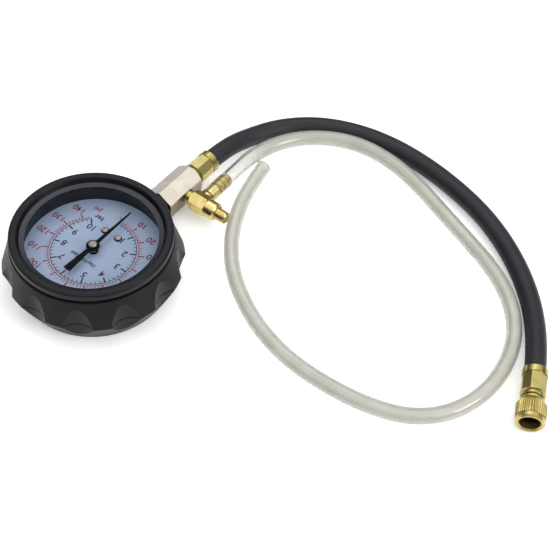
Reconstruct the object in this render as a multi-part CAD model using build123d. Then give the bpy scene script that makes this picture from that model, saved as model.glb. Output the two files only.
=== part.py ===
"""Fuel pressure gauge: a dial gauge in a rubber boot, a hex manifold with a push-button bleed valve,
a rubber test hose with a knurled swivel nut, and a clear drain tube.

Millimetres. The origin is the centre of the boot's base, +Z is the way the dial faces, and the
gauge's stem points along -Y. The bleed valve points along -X.
"""
from build123d import *
import math
import os

# Case, bezel and window
CASE_R = 44.2
CASE_WALL = 1.0
GASKET = 0.8
LENS = 2.0
BEZEL_R = CASE_R + 1.8
BEZEL_WALL = 1.5
BEZEL_DEPTH = 7.0
BEZEL_MOUTH_R = CASE_R - 3.7
BEZEL_LIP = 0.6
BEZEL_RISE = 1.4

# Rubber boot, drawn out from the case and the bezel that it holds
BOOT_HEIGHT = 43.0
BOOT_FLOOR = 3.0
BOOT_OPENING_R = CASE_R - 8.2
BASE_R = CASE_R + 3.0
SHOULDER_R = BEZEL_R + 4.1
GRIP_R = SHOULDER_R + 6.1
GRIP_Z = 18.5
NECK_R = BEZEL_R + 1.2
LIP_R = BEZEL_R + 3.7
LIP_HEIGHT = 4.8
LIP_ROLL = 2.8
LIP_MOUTH_R = BEZEL_R - 1.0
LIP_Z = BOOT_HEIGHT - LIP_HEIGHT
SHOULDER_Z = LIP_Z - 2.2
SCALLOP_COUNT = 12
SCALLOP_R = 13.9
SCALLOP_FLOOR_R = GRIP_R - 4.5
SCALLOP_DRAFT = 0.4
BOOT_TURN = 2.0
PARTING_WIDTH = 0.7
PARTING_DEPTH = 0.6
COLLAR_R = 9.0
COLLAR_END = GRIP_R + 5.0

BEZEL_TOP = BOOT_HEIGHT - LIP_ROLL
LENS_TOP = BEZEL_TOP - BEZEL_LIP - BEZEL_RISE
LENS_Z = LENS_TOP - LENS
CASE_RIM_Z = LENS_Z - GASKET
CASE_BOTTOM = BOOT_FLOOR

# Dial and its fixings
DIAL_Z = 25.0
DIAL = 0.7
DIAL_GAP = 0.2
DIAL_SCREW_R = 17.5
DIAL_SCREW_SPREAD = 17.5
STOP_PIN_R = 0.4
STOP_PIN_TOP = 30.0
STOP_PIN_REACH = 28.7
STOP_PIN_ANGLE = -84.5
SCREW_HEAD_R = 2.1
SCREW_HEAD = 1.2
SCREW_R = 1.0
POST_R = 1.9

# Stem and socket block
STEM_Z = 13.5
STEM_R = 7.0
STEM_THREAD_R = 6.5
STEM_THREAD = 11.5
BLOCK_HALF_WIDTH = 9.0
BLOCK_TOP = 19.5
BLOCK_OUTER = CASE_R - CASE_WALL - 1.2
BLOCK_INNER = 24.0
SHELF_INNER = 10.0
SHELF_Z = 9.0
STEM_BORE_R = 1.6
CASE_SCREW_X = 5.0
CASE_SCREW_Y = BLOCK_OUTER - 13.0
CASE_SCREW_R = 1.4
CASE_SCREW_HEAD_R = 2.6
CASE_SCREW_TOP = 8.4
CASE_SCREW_HEAD = 1.5

# Bourdon tube
COIL_R = 32.0
COIL_THICK = 3.4
COIL_WIDTH = 9.0
COIL_WALL = 0.45
COIL_TIP_ANGLE = -15.0
COIL_SWEEP = 277.0
TIP_SPAN = 6.0
TIP_MARGIN = 0.5
LUG_BOTTOM = 12.8
LUG = 1.4
LUG_REACH = 6.0
TIP_PIVOT_R = COIL_R - LUG_REACH
TIP_PIVOT_ANGLE = -18.0

# Movement
PLATE = 1.2
PLATE_GAP = 8.6
PILLAR_R = 1.7
REAR_PILLAR = (-7.5, 6.0)
MODULE = 0.3
PINION_TEETH = 10
SECTOR_CIRCLE_TEETH = 100
SECTOR_TEETH = 11
ADDENDUM = 0.24
DEDENDUM = 0.36
TOOTH_SLACK = 0.14
TOOTH_TIP_SHARE = 0.5
SECTOR_DIRECTION = -40.0
POINTER_TRAVEL = 315.0
PINION_Z = 12.0
PINION_WIDTH = 3.2
ARBOR_R = 1.0
PIVOT_R = 0.6
SECTOR_Z = 13.0
SECTOR_THICK = 1.2
SECTOR_HUB_R = 1.8
SECTOR_ARBOR_R = 0.7
TAIL_R = 6.5
TAIL_MID_ANGLE = -46.3
LINK_Z = 14.5
LINK_THICK = 0.8
LINK_EYE_R = 1.8
LINK_PIN_R = 0.65
HAIRSPRING_Z = 16.2
HAIRSPRING_WIDTH = 0.8
HAIRSPRING_INNER_R = 1.5
HAIRSPRING_OUTER_R = 5.0
HAIRSPRING_TURNS = 3.5
HAIRSPRING_STRIP = 0.18
COLLET_R = 1.6
STUD_R = 0.6
MOVEMENT_SCREW_X = 3.5
MOVEMENT_SCREW_Y = -12.5
MOVEMENT_SCREW_R = 0.9
MOVEMENT_SCREW_HEAD_R = 1.7

# Pointer
POINTER_Z = 29.3
POINTER_THICK = 0.6
POINTER_TIP_R = 35.0
POINTER_TAIL_R = 23.3
POINTER_TIP_WIDTH = 0.8
POINTER_NECK_WIDTH = 2.6
POINTER_TAIL_WIDTH = 5.0
POINTER_HUB_R = 3.5
POINTER_BUSH_R = 2.0
CAP_R = 2.5
CAP_HEIGHT = 1.6

# Hex manifold
HEX_FLATS = 19.0
HEX_START = COLLAR_END + 0.8
HEX_LENGTH = 32.0
HEX_CHAMFER = 1.2
MANIFOLD_BORE_R = 2.5
NIPPLE_THREAD_R = 5.0
NIPPLE_THREAD = 7.8

# Bleed valve, measured along -X from the manifold's flat
VALVE_Y = 80.0
VALVE_THREAD_R = 4.3
VALVE_THREAD = 5.0
VALVE_NECK = 4.0
VALVE_FLATS = 12.5
VALVE_HEX = 12.0
VALVE_CHAMFER = 0.8
INLET_R = 2.9
INLET_DEPTH = 7.5
SEAT = 1.0
SEAT_HOLE_R = 1.8
CHAMBER_R = 4.6
BONNET_R = 6.0
BONNET = 7.7
SPIGOT = 3.5
BONNET_STEP = 6.2
BONNET_BORE_R = 1.05
BUTTON_R = 4.0
BUTTON_OUT = 7.8
BUTTON_TRAVEL = 2.5
BUTTON_BORE_R = 2.9
BUTTON_CROWN = 3.0
VALVE_STEM_R = 1.0
POPPET_R = 2.4
POPPET = 1.5
SEAL = 0.8
SPRING_WIRE_R = 0.3
SPRING_R = 2.2
SPRING_TURNS = 6

# Barb for the drain tube
BARB_ALONG = 9.8
BARB_LENGTH = 22.5
BARB_CORE_R = 2.9
BARB_RING_R = 3.25
BARB_RINGS = 3
BARB_PITCH = 4.2
BARB_COLLAR_R = 4.0
BARB_COLLAR = 1.2
BARB_BORE_R = 1.8

# Hose, ferrules and nipples, measured from a ferrule's mouth
HOSE_R = 6.5
HOSE_BORE_R = 3.2
HOSE_GRIP = 15.0
HOSE_LEAD = 12.4
FERRULE = 20.5
FERRULE_R = 7.7
FERRULE_FLATS = 14.1
FERRULE_SIDES = 8
FLATS_START = 4.8
FLATS_LENGTH = 12.6
BEAD_R = 7.3
BEAD = 1.4
FERRULE_NECK_R = 6.6
NIPPLE_SHOULDER_R = 5.6
NIPPLE_SHOULDER = 1.6
NIPPLE_GROOVE_R = 4.2
NIPPLE_GROOVE = 1.6
NIPPLE_TAIL_R = 3.0
NIPPLE_RING_R = 3.15
NIPPLE_RINGS = 4
NIPPLE_BORE_R = 1.8
FERRULE_GAP = 0.5

# Swivel end, measured from the far ferrule's end
FAR_MOUTH = (-255.5, -103.7)
FAR_ANGLE = 113.9
NUT_R = 9.05
NUT_START = 1.0
NUT_BACK_R = 7.0
NUT_TAPER = 4.6
KNURL_LENGTH = 8.7
KNURL_COUNT = 40
KNURL_DEPTH = 0.4
NUT_GROOVE = 0.6
NUT_GROOVE_R = 8.45
NUT_RING = 3.1
NUT_RING_R = 8.75
NUT_FRONT_R = 7.8
NUT_BACK_WALL = 3.4
NUT_HOLE_R = 5.08
RELIEF_R = 6.6
RELIEF_END = 10.8
THREAD_R = 6.2
THREAD_CHAMFER = 0.8
SWIVEL_R = 5.0
SWIVEL_FLANGE_R = 5.9
SWIVEL_FLANGE = 2.0
SWIVEL_PLAY = 0.3
WASHER_R = 5.6
WASHER_BORE_R = 3.0
WASHER = 1.8
DEPRESSOR_R = 0.9
DEPRESSOR_FOOT_R = 2.4
DEPRESSOR_TIP = 2.2

# Cords
TUBE_R = 5.0
TUBE_BORE_R = 3.3
TUBE_START = 88.0
RUN_SHARE = 0.45

# Fits
FIT = 0.03
RUBBER_FIT = 0.15
RUNNING = 0.05

FERRULE_END = HEX_START + HEX_LENGTH + FERRULE_GAP
NEAR_MOUTH = FERRULE_END + FERRULE
VALVE_ROOT_X = -HEX_FLATS / 2
BARB_X = VALVE_ROOT_X - BARB_ALONG
HEX_END = VALVE_NECK + VALVE_HEX
BACK_PLATE_Z = SHELF_Z
FRONT_PLATE_Z = BACK_PLATE_Z + PLATE + PLATE_GAP
PINION_PITCH_R = MODULE * PINION_TEETH / 2
SECTOR_PITCH_R = MODULE * SECTOR_CIRCLE_TEETH / 2
CENTRES = PINION_PITCH_R + SECTOR_PITCH_R
SECTOR_SWING = POINTER_TRAVEL * PINION_TEETH / SECTOR_CIRCLE_TEETH


def polar(radius, degrees):
    """Point at a radius and an angle in the dial's plane."""
    angle = math.radians(degrees)
    return (radius * math.cos(angle), radius * math.sin(angle))


SECTOR_PIVOT = polar(CENTRES, SECTOR_DIRECTION)
DIAL_SCREWS = [polar(DIAL_SCREW_R, -90 + side * DIAL_SCREW_SPREAD) for side in (-1, 1)]
TIP_PIVOT = polar(TIP_PIVOT_R, TIP_PIVOT_ANGLE)
FAR_DIRECTION = Vector(*polar(1, FAR_ANGLE))

# Rubber hose: in the near ferrule, round the loop on the table, and into the far ferrule
HOSE_ROUTE = [
    (0, HOSE_GRIP - NEAR_MOUTH, STEM_Z),
    (0, -HOSE_LEAD - NEAR_MOUTH, STEM_Z),
    (-3.5, -154, 8),
    (-15, -178, 6.5),
    (-34, -196.5, 6.5),
    (-58.5, -207.5, 6.5),
    (-85, -211.5, 6.5),
    (-112, -210, 6.5),
    (-138.5, -204, 6.5),
    (-165, -195, 6.5),
    (-190, -181.5, 6.5),
    (-213, -164.5, 6.5),
    (-233, -143.5, 7),
    (FAR_MOUTH[0] - HOSE_LEAD * FAR_DIRECTION.X, FAR_MOUTH[1] - HOSE_LEAD * FAR_DIRECTION.Y, NUT_R),
    (FAR_MOUTH[0] + HOSE_GRIP * FAR_DIRECTION.X, FAR_MOUTH[1] + HOSE_GRIP * FAR_DIRECTION.Y, NUT_R),
]

# Clear tube: from the barb, beside the hose, round the table and back to a cut end
TUBE_ROUTE = [
    (BARB_X, -TUBE_START, STEM_Z),
    (BARB_X, -112, STEM_Z),
    (-17.5, -137.5, 12.5),
    (-24, -162.5, 10),
    (-40, -182.5, 8.5),
    (-62.6, -193.8, 7.5),
    (-90, -197, 6),
    (-116, -191.5, 5),
    (-140.5, -182, 5),
    (-165, -173, 5),
    (-189, -162, 5),
    (-210.5, -146.5, 5),
    (-227.5, -126.5, 5),
    (-237, -102.5, 5),
    (-238.5, -76.5, 5),
    (-229.5, -52.5, 5),
    (-211.5, -34, 5),
    (-187.5, -24, 5),
    (-162, -20, 5),
    (-136.5, -21, 5),
    (-112, -27.5, 5),
    (-89, -38.5, 5),
    (-69, -53.5, 5),
    (-53.5, -72.5, 5),
    (-41.5, -94.5, 5),
    (-33, -117.5, 5),
    (-28.5, -141.5, 5),
]

STEM_AXIS = Plane(origin=(0, 0, STEM_Z), x_dir=(1, 0, 0), z_dir=(0, -1, 0))
VALVE_AXIS = Plane(origin=(VALVE_ROOT_X, -VALVE_Y, STEM_Z), x_dir=(0, 1, 0), z_dir=(-1, 0, 0))
BARB_AXIS = Plane(origin=(BARB_X, -VALVE_Y, STEM_Z), x_dir=(1, 0, 0), z_dir=(0, -1, 0))
NEAR_AXIS = Plane(origin=(0, -NEAR_MOUTH, STEM_Z), x_dir=(1, 0, 0), z_dir=(0, 1, 0))
FAR_AXIS = Plane(origin=(*FAR_MOUTH, NUT_R), x_dir=(0, 0, 1), z_dir=FAR_DIRECTION)
SWIVEL_AXIS = FAR_AXIS.offset(FERRULE)


def outline(points, rounds=()):
    """Closed outline through the points, with each (x, y, radius) in rounds filleted."""
    face = make_face(Polyline(*points, close=True))
    for x, y, radius in rounds:
        corner = face.vertices().sort_by_distance((x, y, 0))[0]
        face = fillet(corner, radius)
    return face


def turned(points, rounds=(), at=Plane.XY):
    """Solid of revolution of (radius, height) points about the plane's normal."""
    return at * revolve(Plane.XZ * outline(points, rounds), Axis.Z)


def rod(radius, start, end, at=Plane.XY, x=0.0, y=0.0):
    """Cylinder between two heights along a plane's normal."""
    disc = Pos(x, y, start) * Circle(radius)
    return at * extrude(disc, end - start, dir=(0, 0, 1))


def hexagon(flats, start, end, at, chamfers=(0.0, 0.0)):
    """Hex bar with its corners turned off at the ends."""
    section = RegularPolygon(flats / 2, 6, major_radius=False, rotation=180 / 6)
    bar = extrude(Pos(0, 0, start) * section, end - start)
    outer = flats / math.sqrt(3) + 0.1
    inner = flats / 2 * 0.985
    near, far = chamfers
    envelope = [(0, start), (inner if near else outer, start), (outer, start + near),
                (outer, end - far), (inner if far else outer, end), (0, end)]
    points = [p for i, p in enumerate(envelope) if i == 0 or p != envelope[i - 1]]
    return at * (bar & turned(points))


def scalloped_grip():
    """Cutters that scallop the grip, drafted above the groove at the mould's parting line."""
    centre = SCALLOP_FLOOR_R + SCALLOP_R
    groove_end = GRIP_Z + PARTING_WIDTH
    groove_r = SCALLOP_R + PARTING_DEPTH
    cutter = turned([
        (0, -1), (SCALLOP_R, -1), (SCALLOP_R, GRIP_Z), (groove_r, GRIP_Z), (groove_r, groove_end),
        (SCALLOP_R, groove_end), (SCALLOP_R + SCALLOP_DRAFT, BOOT_HEIGHT), (0, BOOT_HEIGHT),
    ])
    places = (polar(centre, BOOT_TURN - 90 + 360 / SCALLOP_COUNT * k) for k in range(SCALLOP_COUNT))
    return Part() + [Pos(x, y, 0) * cutter for x, y in places]


def rubber_boot():
    """Boot that flares to a scalloped grip, with a rolled lip over the bezel."""
    bezel_bore = BEZEL_R + RUBBER_FIT
    case_bore = CASE_R + RUBBER_FIT
    bezel_seat = BEZEL_TOP - BEZEL_DEPTH - RUBBER_FIT
    lip_seat = BEZEL_TOP + RUBBER_FIT
    foot = BEZEL_MOUTH_R + BEZEL_RISE * 2.1
    points = [
        (BOOT_OPENING_R, 0), (BASE_R, 0), (GRIP_R, GRIP_Z), (SHOULDER_R, SHOULDER_Z),
        (NECK_R, SHOULDER_Z + 0.5), (NECK_R, LIP_Z), (LIP_R, LIP_Z + 0.3), (LIP_R, BOOT_HEIGHT),
        (LIP_MOUTH_R, BOOT_HEIGHT), (foot, lip_seat), (bezel_bore, lip_seat),
        (bezel_bore, bezel_seat), (case_bore, bezel_seat), (case_bore, BOOT_FLOOR),
        (BOOT_OPENING_R, BOOT_FLOOR),
    ]
    rounds = [
        (BASE_R, 0, 1.0), (GRIP_R, GRIP_Z, 1.2), (SHOULDER_R, SHOULDER_Z, 0.8),
        (LIP_R, BOOT_HEIGHT, 1.5), (LIP_MOUTH_R, BOOT_HEIGHT, 1.0),
    ]
    boot = turned(points, rounds) - scalloped_grip()
    boot += rod(COLLAR_R, SHOULDER_R - 1, COLLAR_END, STEM_AXIS)
    return boot - rod(STEM_R + RUBBER_FIT, CASE_R - 5, COLLAR_END + 1, STEM_AXIS)


def gauge_case():
    """Pressed steel cup, with a hole for the stem and two for its screws."""
    inner = CASE_R - CASE_WALL
    floor = CASE_BOTTOM + CASE_WALL
    case = turned([(0, CASE_BOTTOM), (CASE_R, CASE_BOTTOM), (CASE_R, CASE_RIM_Z), (inner, CASE_RIM_Z),
                   (inner, floor), (0, floor)])
    case -= rod(STEM_R + FIT, inner - 3, CASE_R + 1, STEM_AXIS)
    for side in (-1, 1):
        case -= rod(CASE_SCREW_R + FIT, CASE_BOTTOM - 1, floor + 1, x=side * CASE_SCREW_X,
                    y=-CASE_SCREW_Y)
    return case


def bezel_ring():
    """Ring that grips the case's rim and slopes down to the window."""
    top = BEZEL_TOP
    skirt = top - BEZEL_DEPTH
    crown_r = BEZEL_R - 1.4
    inner = BEZEL_R - BEZEL_WALL
    mouth_top = LENS_TOP + BEZEL_LIP
    points = [
        (inner, skirt), (BEZEL_R, skirt), (BEZEL_R, top), (crown_r, top),
        (BEZEL_MOUTH_R, mouth_top), (BEZEL_MOUTH_R, LENS_TOP), (inner, LENS_TOP),
    ]
    return turned(points, [(BEZEL_R, top, 0.8)])


def window_gasket():
    """Flat rubber ring between the case's rim and the window."""
    inner = CASE_R - CASE_WALL - 1.0
    return turned([(inner, CASE_RIM_Z), (CASE_R, CASE_RIM_Z), (CASE_R, LENS_Z), (inner, LENS_Z)])


def window():
    """Clear disc under the bezel."""
    return rod(CASE_R, LENS_Z, LENS_TOP)


def dial_plate():
    """Dial disc with the pointer's stop pin, open for the arbor and its two screws."""
    plate = rod(CASE_R - CASE_WALL - DIAL_GAP, DIAL_Z - DIAL, DIAL_Z)
    x, y = polar(STOP_PIN_REACH, STOP_PIN_ANGLE)
    plate += rod(STOP_PIN_R, DIAL_Z - DIAL, STOP_PIN_TOP, x=x, y=y)
    plate -= rod(POINTER_BUSH_R + 1, DIAL_Z - 2, DIAL_Z + 1)
    for x, y in DIAL_SCREWS:
        plate -= rod(SCREW_R + FIT, DIAL_Z - 2, DIAL_Z + 1, x=x, y=y)
    return plate


def domed_screw(x, y, seat, head_r, head, shank_r, tip):
    """Round-headed screw standing on its seat."""
    profile = outline([(0, tip), (shank_r, tip), (shank_r, seat), (head_r, seat),
                       (head_r, seat + head), (0, seat + head)],
                      [(head_r, seat + head, head * 0.85)])
    return Pos(x, y, 0) * revolve(Plane.XZ * profile, Axis.Z)


def dial_screws():
    """Two domed screws that hold the dial to its posts."""
    tip = FRONT_PLATE_Z - 4
    return Part() + [domed_screw(x, y, DIAL_Z, SCREW_HEAD_R, SCREW_HEAD, SCREW_R, tip)
                     for x, y in DIAL_SCREWS]


def dial_posts():
    """Two tubular posts between the movement and the dial."""
    start, end = FRONT_PLATE_Z + PLATE, DIAL_Z - DIAL
    return Part() + [rod(POST_R, start, end, x=x, y=y) - rod(SCREW_R + FIT, start, end, x=x, y=y)
                     for x, y in DIAL_SCREWS]


def coil_section(grow=0.0):
    """Flattened section of the Bourdon tube at angle zero."""
    width, thick = COIL_WIDTH + 2 * grow, COIL_THICK + 2 * grow
    return Plane.XZ * Pos(COIL_R, STEM_Z) * SlotOverall(width, thick, rotation=90)


def bourdon_tube():
    """C-shaped flattened tube, open at the root and closed by its tip piece."""
    ring = coil_section() - coil_section(-COIL_WALL)
    return Rot(0, 0, COIL_TIP_ANGLE) * revolve(ring, Axis.Z, COIL_SWEEP)


def socket_block():
    """Brass block that carries the stem, the Bourdon tube's root and the movement."""
    floor = CASE_BOTTOM + CASE_WALL
    width = 2 * BLOCK_HALF_WIDTH
    block = Pos(0, -(BLOCK_OUTER + BLOCK_INNER) / 2, (floor + BLOCK_TOP) / 2) * Box(
        width, BLOCK_OUTER - BLOCK_INNER, BLOCK_TOP - floor)
    block += Pos(0, -(BLOCK_INNER + SHELF_INNER) / 2, (floor + SHELF_Z) / 2) * Box(
        width, BLOCK_INNER - SHELF_INNER, SHELF_Z - floor)
    block += rod(STEM_R, BLOCK_OUTER - 1, HEX_START, STEM_AXIS)
    block += rod(STEM_THREAD_R, HEX_START, HEX_START + STEM_THREAD, STEM_AXIS)
    block -= rod(STEM_BORE_R, COIL_R, HEX_START + STEM_THREAD + 1, STEM_AXIS)
    root = COIL_TIP_ANGLE + COIL_SWEEP
    slot = Rot(0, 0, root + 0.3) * revolve(coil_section(FIT), Axis.Z, -25)
    block -= slot
    root_x, root_y = polar(COIL_R, root)
    feed = Plane(origin=(0, root_y, STEM_Z), x_dir=(0, 1, 0), z_dir=(-1, 0, 0))
    block -= rod(STEM_BORE_R * 0.75, 0, -root_x + 0.5, feed)
    for side in (-1, 1):
        block -= rod(CASE_SCREW_R + FIT, floor - 1, CASE_SCREW_TOP + 0.3, x=side * CASE_SCREW_X,
                     y=-CASE_SCREW_Y)
        block -= rod(MOVEMENT_SCREW_R + FIT, SHELF_Z - 3.5, SHELF_Z + 1, x=side * MOVEMENT_SCREW_X,
                     y=MOVEMENT_SCREW_Y)
    return block


def case_screws():
    """Two screws that hold the case to the socket block, with their heads under the case."""
    flat = Plane(origin=(0, 0, CASE_BOTTOM), x_dir=(1, 0, 0), z_dir=(0, 0, -1))
    reach = CASE_SCREW_TOP - CASE_BOTTOM
    return Part() + [
        flat * domed_screw(side * CASE_SCREW_X, CASE_SCREW_Y, 0, CASE_SCREW_HEAD_R, CASE_SCREW_HEAD,
                           CASE_SCREW_R, -reach)
        for side in (-1, 1)
    ]


def tube_tip():
    """Block brazed on the Bourdon tube's closed end, with a lug for the link."""
    thick = COIL_THICK / 2 + TIP_MARGIN
    half_width = COIL_WIDTH / 2 + TIP_MARGIN
    section = Plane.XZ * Pos(COIL_R, STEM_Z) * Rectangle(2 * thick, 2 * half_width)
    block = Rot(0, 0, COIL_TIP_ANGLE - TIP_SPAN) * revolve(section, Axis.Z, TIP_SPAN)
    lug = Pos(TIP_PIVOT_R + LUG_REACH / 2, 0) * Rectangle(LUG_REACH, 1.5 * LINK_EYE_R)
    lug += Pos(TIP_PIVOT_R, 0) * Circle(LINK_EYE_R)
    block += Rot(0, 0, TIP_PIVOT_ANGLE) * Pos(0, 0, LUG_BOTTOM) * extrude(lug, LUG)
    return block - rod(LINK_PIN_R + FIT, LUG_BOTTOM - 1, LINK_Z + 1, x=TIP_PIVOT[0], y=TIP_PIVOT[1])


def movement_plan():
    """Outline shared by the movement's two plates."""
    bosses = [(0, 0, 6.0), (*SECTOR_PIVOT, 4.0), (*REAR_PILLAR, 3.0)]
    bosses += [(x, y, 3.4) for x, y in DIAL_SCREWS]
    edges = [edge for x, y, r in bosses for edge in (Pos(x, y) * Circle(r)).edges()]
    return make_hull(edges)


def plate_at(z, holes):
    """Movement plate at a height, drilled at each (x, y, radius)."""
    plate = Pos(0, 0, z) * extrude(movement_plan(), PLATE)
    for x, y, radius in holes:
        plate -= rod(radius, z - 1, z + PLATE + 1, x=x, y=y)
    return plate


def movement_back_plate():
    """Plate that carries the lower pivots and is screwed to the socket's shelf."""
    holes = [(0, 0, PIVOT_R + RUNNING), (*SECTOR_PIVOT, SECTOR_ARBOR_R + RUNNING)]
    holes += [(side * MOVEMENT_SCREW_X, MOVEMENT_SCREW_Y, MOVEMENT_SCREW_R + FIT) for side in (-1, 1)]
    return plate_at(BACK_PLATE_Z, holes)


def movement_front_plate():
    """Plate that carries the upper pivots and the dial's posts."""
    holes = [(0, 0, ARBOR_R + RUNNING), (*SECTOR_PIVOT, SECTOR_ARBOR_R + RUNNING)]
    holes += [(x, y, SCREW_R + FIT) for x, y in DIAL_SCREWS]
    holes += [(*REAR_PILLAR, MOVEMENT_SCREW_R + FIT)]
    return plate_at(FRONT_PLATE_Z, holes)


def movement_pillars():
    """Three pillars between the plates, tapped for the screws above them."""
    start = BACK_PLATE_Z + PLATE
    solids = []
    for x, y, tapped in [(x, y, SCREW_R) for x, y in DIAL_SCREWS] + [(*REAR_PILLAR, MOVEMENT_SCREW_R)]:
        pillar = rod(PILLAR_R, start, FRONT_PLATE_Z, x=x, y=y)
        solids.append(pillar - rod(tapped + FIT, FRONT_PLATE_Z - 4.5, FRONT_PLATE_Z + 1, x=x, y=y))
    return Part() + solids


def movement_screws():
    """Two screws into the socket's shelf and one into the rear pillar."""
    low = BACK_PLATE_Z + PLATE
    high = FRONT_PLATE_Z + PLATE
    screws = [domed_screw(side * MOVEMENT_SCREW_X, MOVEMENT_SCREW_Y, low, MOVEMENT_SCREW_HEAD_R, 1.0,
                          MOVEMENT_SCREW_R, SHELF_Z - 3.2) for side in (-1, 1)]
    screws.append(domed_screw(*REAR_PILLAR, high, MOVEMENT_SCREW_HEAD_R, 1.0, MOVEMENT_SCREW_R,
                              FRONT_PLATE_Z - 4))
    return Part() + screws


def tooth(pitch_r, root_r, tip_r):
    """One straight-flanked gear tooth, pointing along +X."""
    half = (math.pi * MODULE / 2 - TOOTH_SLACK) / 2
    tip = half * TOOTH_TIP_SHARE
    root = half + (half - tip) * (pitch_r - root_r) / (tip_r - pitch_r) * 0.5
    return make_face(Polyline((root_r - 0.3, -root), (root_r, -root), (pitch_r, -half), (tip_r, -tip),
                              (tip_r, tip), (pitch_r, half), (root_r, root), (root_r - 0.3, root),
                              close=True))


def pinion_arbor():
    """Arbor that carries the pinion below and the pointer above."""
    bottom = BACK_PLATE_Z + 0.3
    step = BACK_PLATE_Z + PLATE + 0.2
    top = POINTER_Z + POINTER_THICK + 0.4
    arbor = turned([(0, bottom), (PIVOT_R, bottom), (PIVOT_R, step), (ARBOR_R, step),
                    (ARBOR_R, top), (0, top)])
    root_r = PINION_PITCH_R - DEDENDUM
    one = tooth(PINION_PITCH_R, root_r, PINION_PITCH_R + ADDENDUM)
    pitch = 360 / PINION_TEETH
    first = SECTOR_DIRECTION + POINTER_TRAVEL / 2 + pitch / 2
    plan = Circle(root_r) + [Rot(0, 0, first + pitch * k) * one for k in range(PINION_TEETH)]
    return arbor + Pos(0, 0, PINION_Z) * extrude(plan, PINION_WIDTH)


def sector_plan():
    """Toothed fan and slotted tail about the sector's pivot, with its middle tooth along +X."""
    pitch = 360 / SECTOR_CIRCLE_TEETH
    root_r = SECTOR_PITCH_R - DEDENDUM
    half = pitch * SECTOR_TEETH / 2 + 0.3
    edge_low, edge_high = polar(root_r, -half), polar(root_r, half)
    arc = ThreePointArc(edge_low, (root_r, 0), edge_high)
    fan = make_face(Polyline(edge_high, (0, 0), edge_low) + arc)
    window_half = half - 8
    near, far = 5.0, root_r - 2.4
    inner = ThreePointArc(polar(near, -window_half), (near, 0), polar(near, window_half))
    outer = ThreePointArc(polar(far, -window_half), (far, 0), polar(far, window_half))
    sides = [Line(inner @ 0, outer @ 0), Line(inner @ 1, outer @ 1)]
    fan -= make_face([inner, outer, *sides])
    one = tooth(SECTOR_PITCH_R, root_r, SECTOR_PITCH_R + ADDENDUM)
    reach = (SECTOR_TEETH - 1) // 2
    fan += [Rot(0, 0, pitch * k) * one for k in range(-reach, reach + 1)]
    return fan + Circle(SECTOR_HUB_R)


def tail_offset():
    """Half the bulge of the tail's arc over its chord, by which the link's pin is set out."""
    return TAIL_R * (1 - math.cos(math.radians(SECTOR_SWING / 2))) / 2


def sector_gear():
    """Toothed sector with its arbor and the tail that the link turns."""
    rest_turn = SECTOR_DIRECTION + 180 - SECTOR_SWING / 2
    tail_turn = TAIL_MID_ANGLE - SECTOR_SWING / 2
    eye_r = LINK_PIN_R + tail_offset() + 0.18
    plan = Rot(0, 0, rest_turn) * sector_plan()
    tail = Pos(TAIL_R / 2, 0) * Rectangle(TAIL_R, 2 * SECTOR_HUB_R - 0.6) + Pos(TAIL_R, 0) * Circle(1.9)
    plan += Rot(0, 0, tail_turn) * tail
    plan -= Rot(0, 0, tail_turn) * Pos(TAIL_R, 0) * Circle(eye_r)
    gear = Pos(0, 0, SECTOR_Z) * extrude(plan, SECTOR_THICK)
    gear += rod(SECTOR_HUB_R, SECTOR_Z - 1.2, SECTOR_Z + SECTOR_THICK + 3)
    gear += rod(SECTOR_ARBOR_R, BACK_PLATE_Z + 0.3, FRONT_PLATE_Z + PLATE - 0.1)
    return Pos(*SECTOR_PIVOT, 0) * gear


def link_pin():
    """Place of the link's lower pin at rest."""
    x, y = polar(TAIL_R, TAIL_MID_ANGLE - SECTOR_SWING / 2)
    dx, dy = polar(tail_offset(), TAIL_MID_ANGLE)
    return (SECTOR_PIVOT[0] + x + dx, SECTOR_PIVOT[1] + y + dy)


def link():
    """Flat link from the tube's tip to the sector's tail."""
    low, high = link_pin(), TIP_PIVOT
    dx, dy = high[0] - low[0], high[1] - low[1]
    turn = math.degrees(math.atan2(dy, dx))
    length = math.hypot(dx, dy)
    strip = Pos(length / 2, 0) * Rectangle(length, LINK_EYE_R * 1.3)
    strip += [Circle(LINK_EYE_R), Pos(length, 0) * Circle(LINK_EYE_R)]
    strip -= Pos(length, 0) * Circle(LINK_PIN_R + FIT)
    bar = Pos(*low, LINK_Z) * Rot(0, 0, turn) * extrude(strip, LINK_THICK)
    return bar + rod(LINK_PIN_R, SECTOR_Z - 0.6, LINK_Z + 0.2, x=low[0], y=low[1])


def link_screw():
    """Shoulder screw that holds the link to the lug."""
    return domed_screw(*TIP_PIVOT, LINK_Z + LINK_THICK, 1.2, 0.7, LINK_PIN_R, LUG_BOTTOM)


def hairspring():
    """Flat spiral spring wound from its collet on the arbor."""
    growth = (HAIRSPRING_OUTER_R - HAIRSPRING_INNER_R) / HAIRSPRING_TURNS / 360
    steps = range(0, int(360 * HAIRSPRING_TURNS) + 1, 45)
    inner = Spline([polar(HAIRSPRING_INNER_R + growth * a, a) for a in steps])
    outer = Spline([polar(HAIRSPRING_INNER_R + HAIRSPRING_STRIP + growth * a, a) for a in steps])
    strip = make_face([inner, outer, Line(inner @ 0, outer @ 0), Line(inner @ 1, outer @ 1)])
    spring = Pos(0, 0, HAIRSPRING_Z) * extrude(strip, HAIRSPRING_WIDTH)
    collet = rod(COLLET_R, HAIRSPRING_Z - 0.3, HAIRSPRING_Z + HAIRSPRING_WIDTH + 0.3)
    collet -= rod(ARBOR_R + FIT / 2, HAIRSPRING_Z - 1, HAIRSPRING_Z + 2)
    return collet + spring


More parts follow.
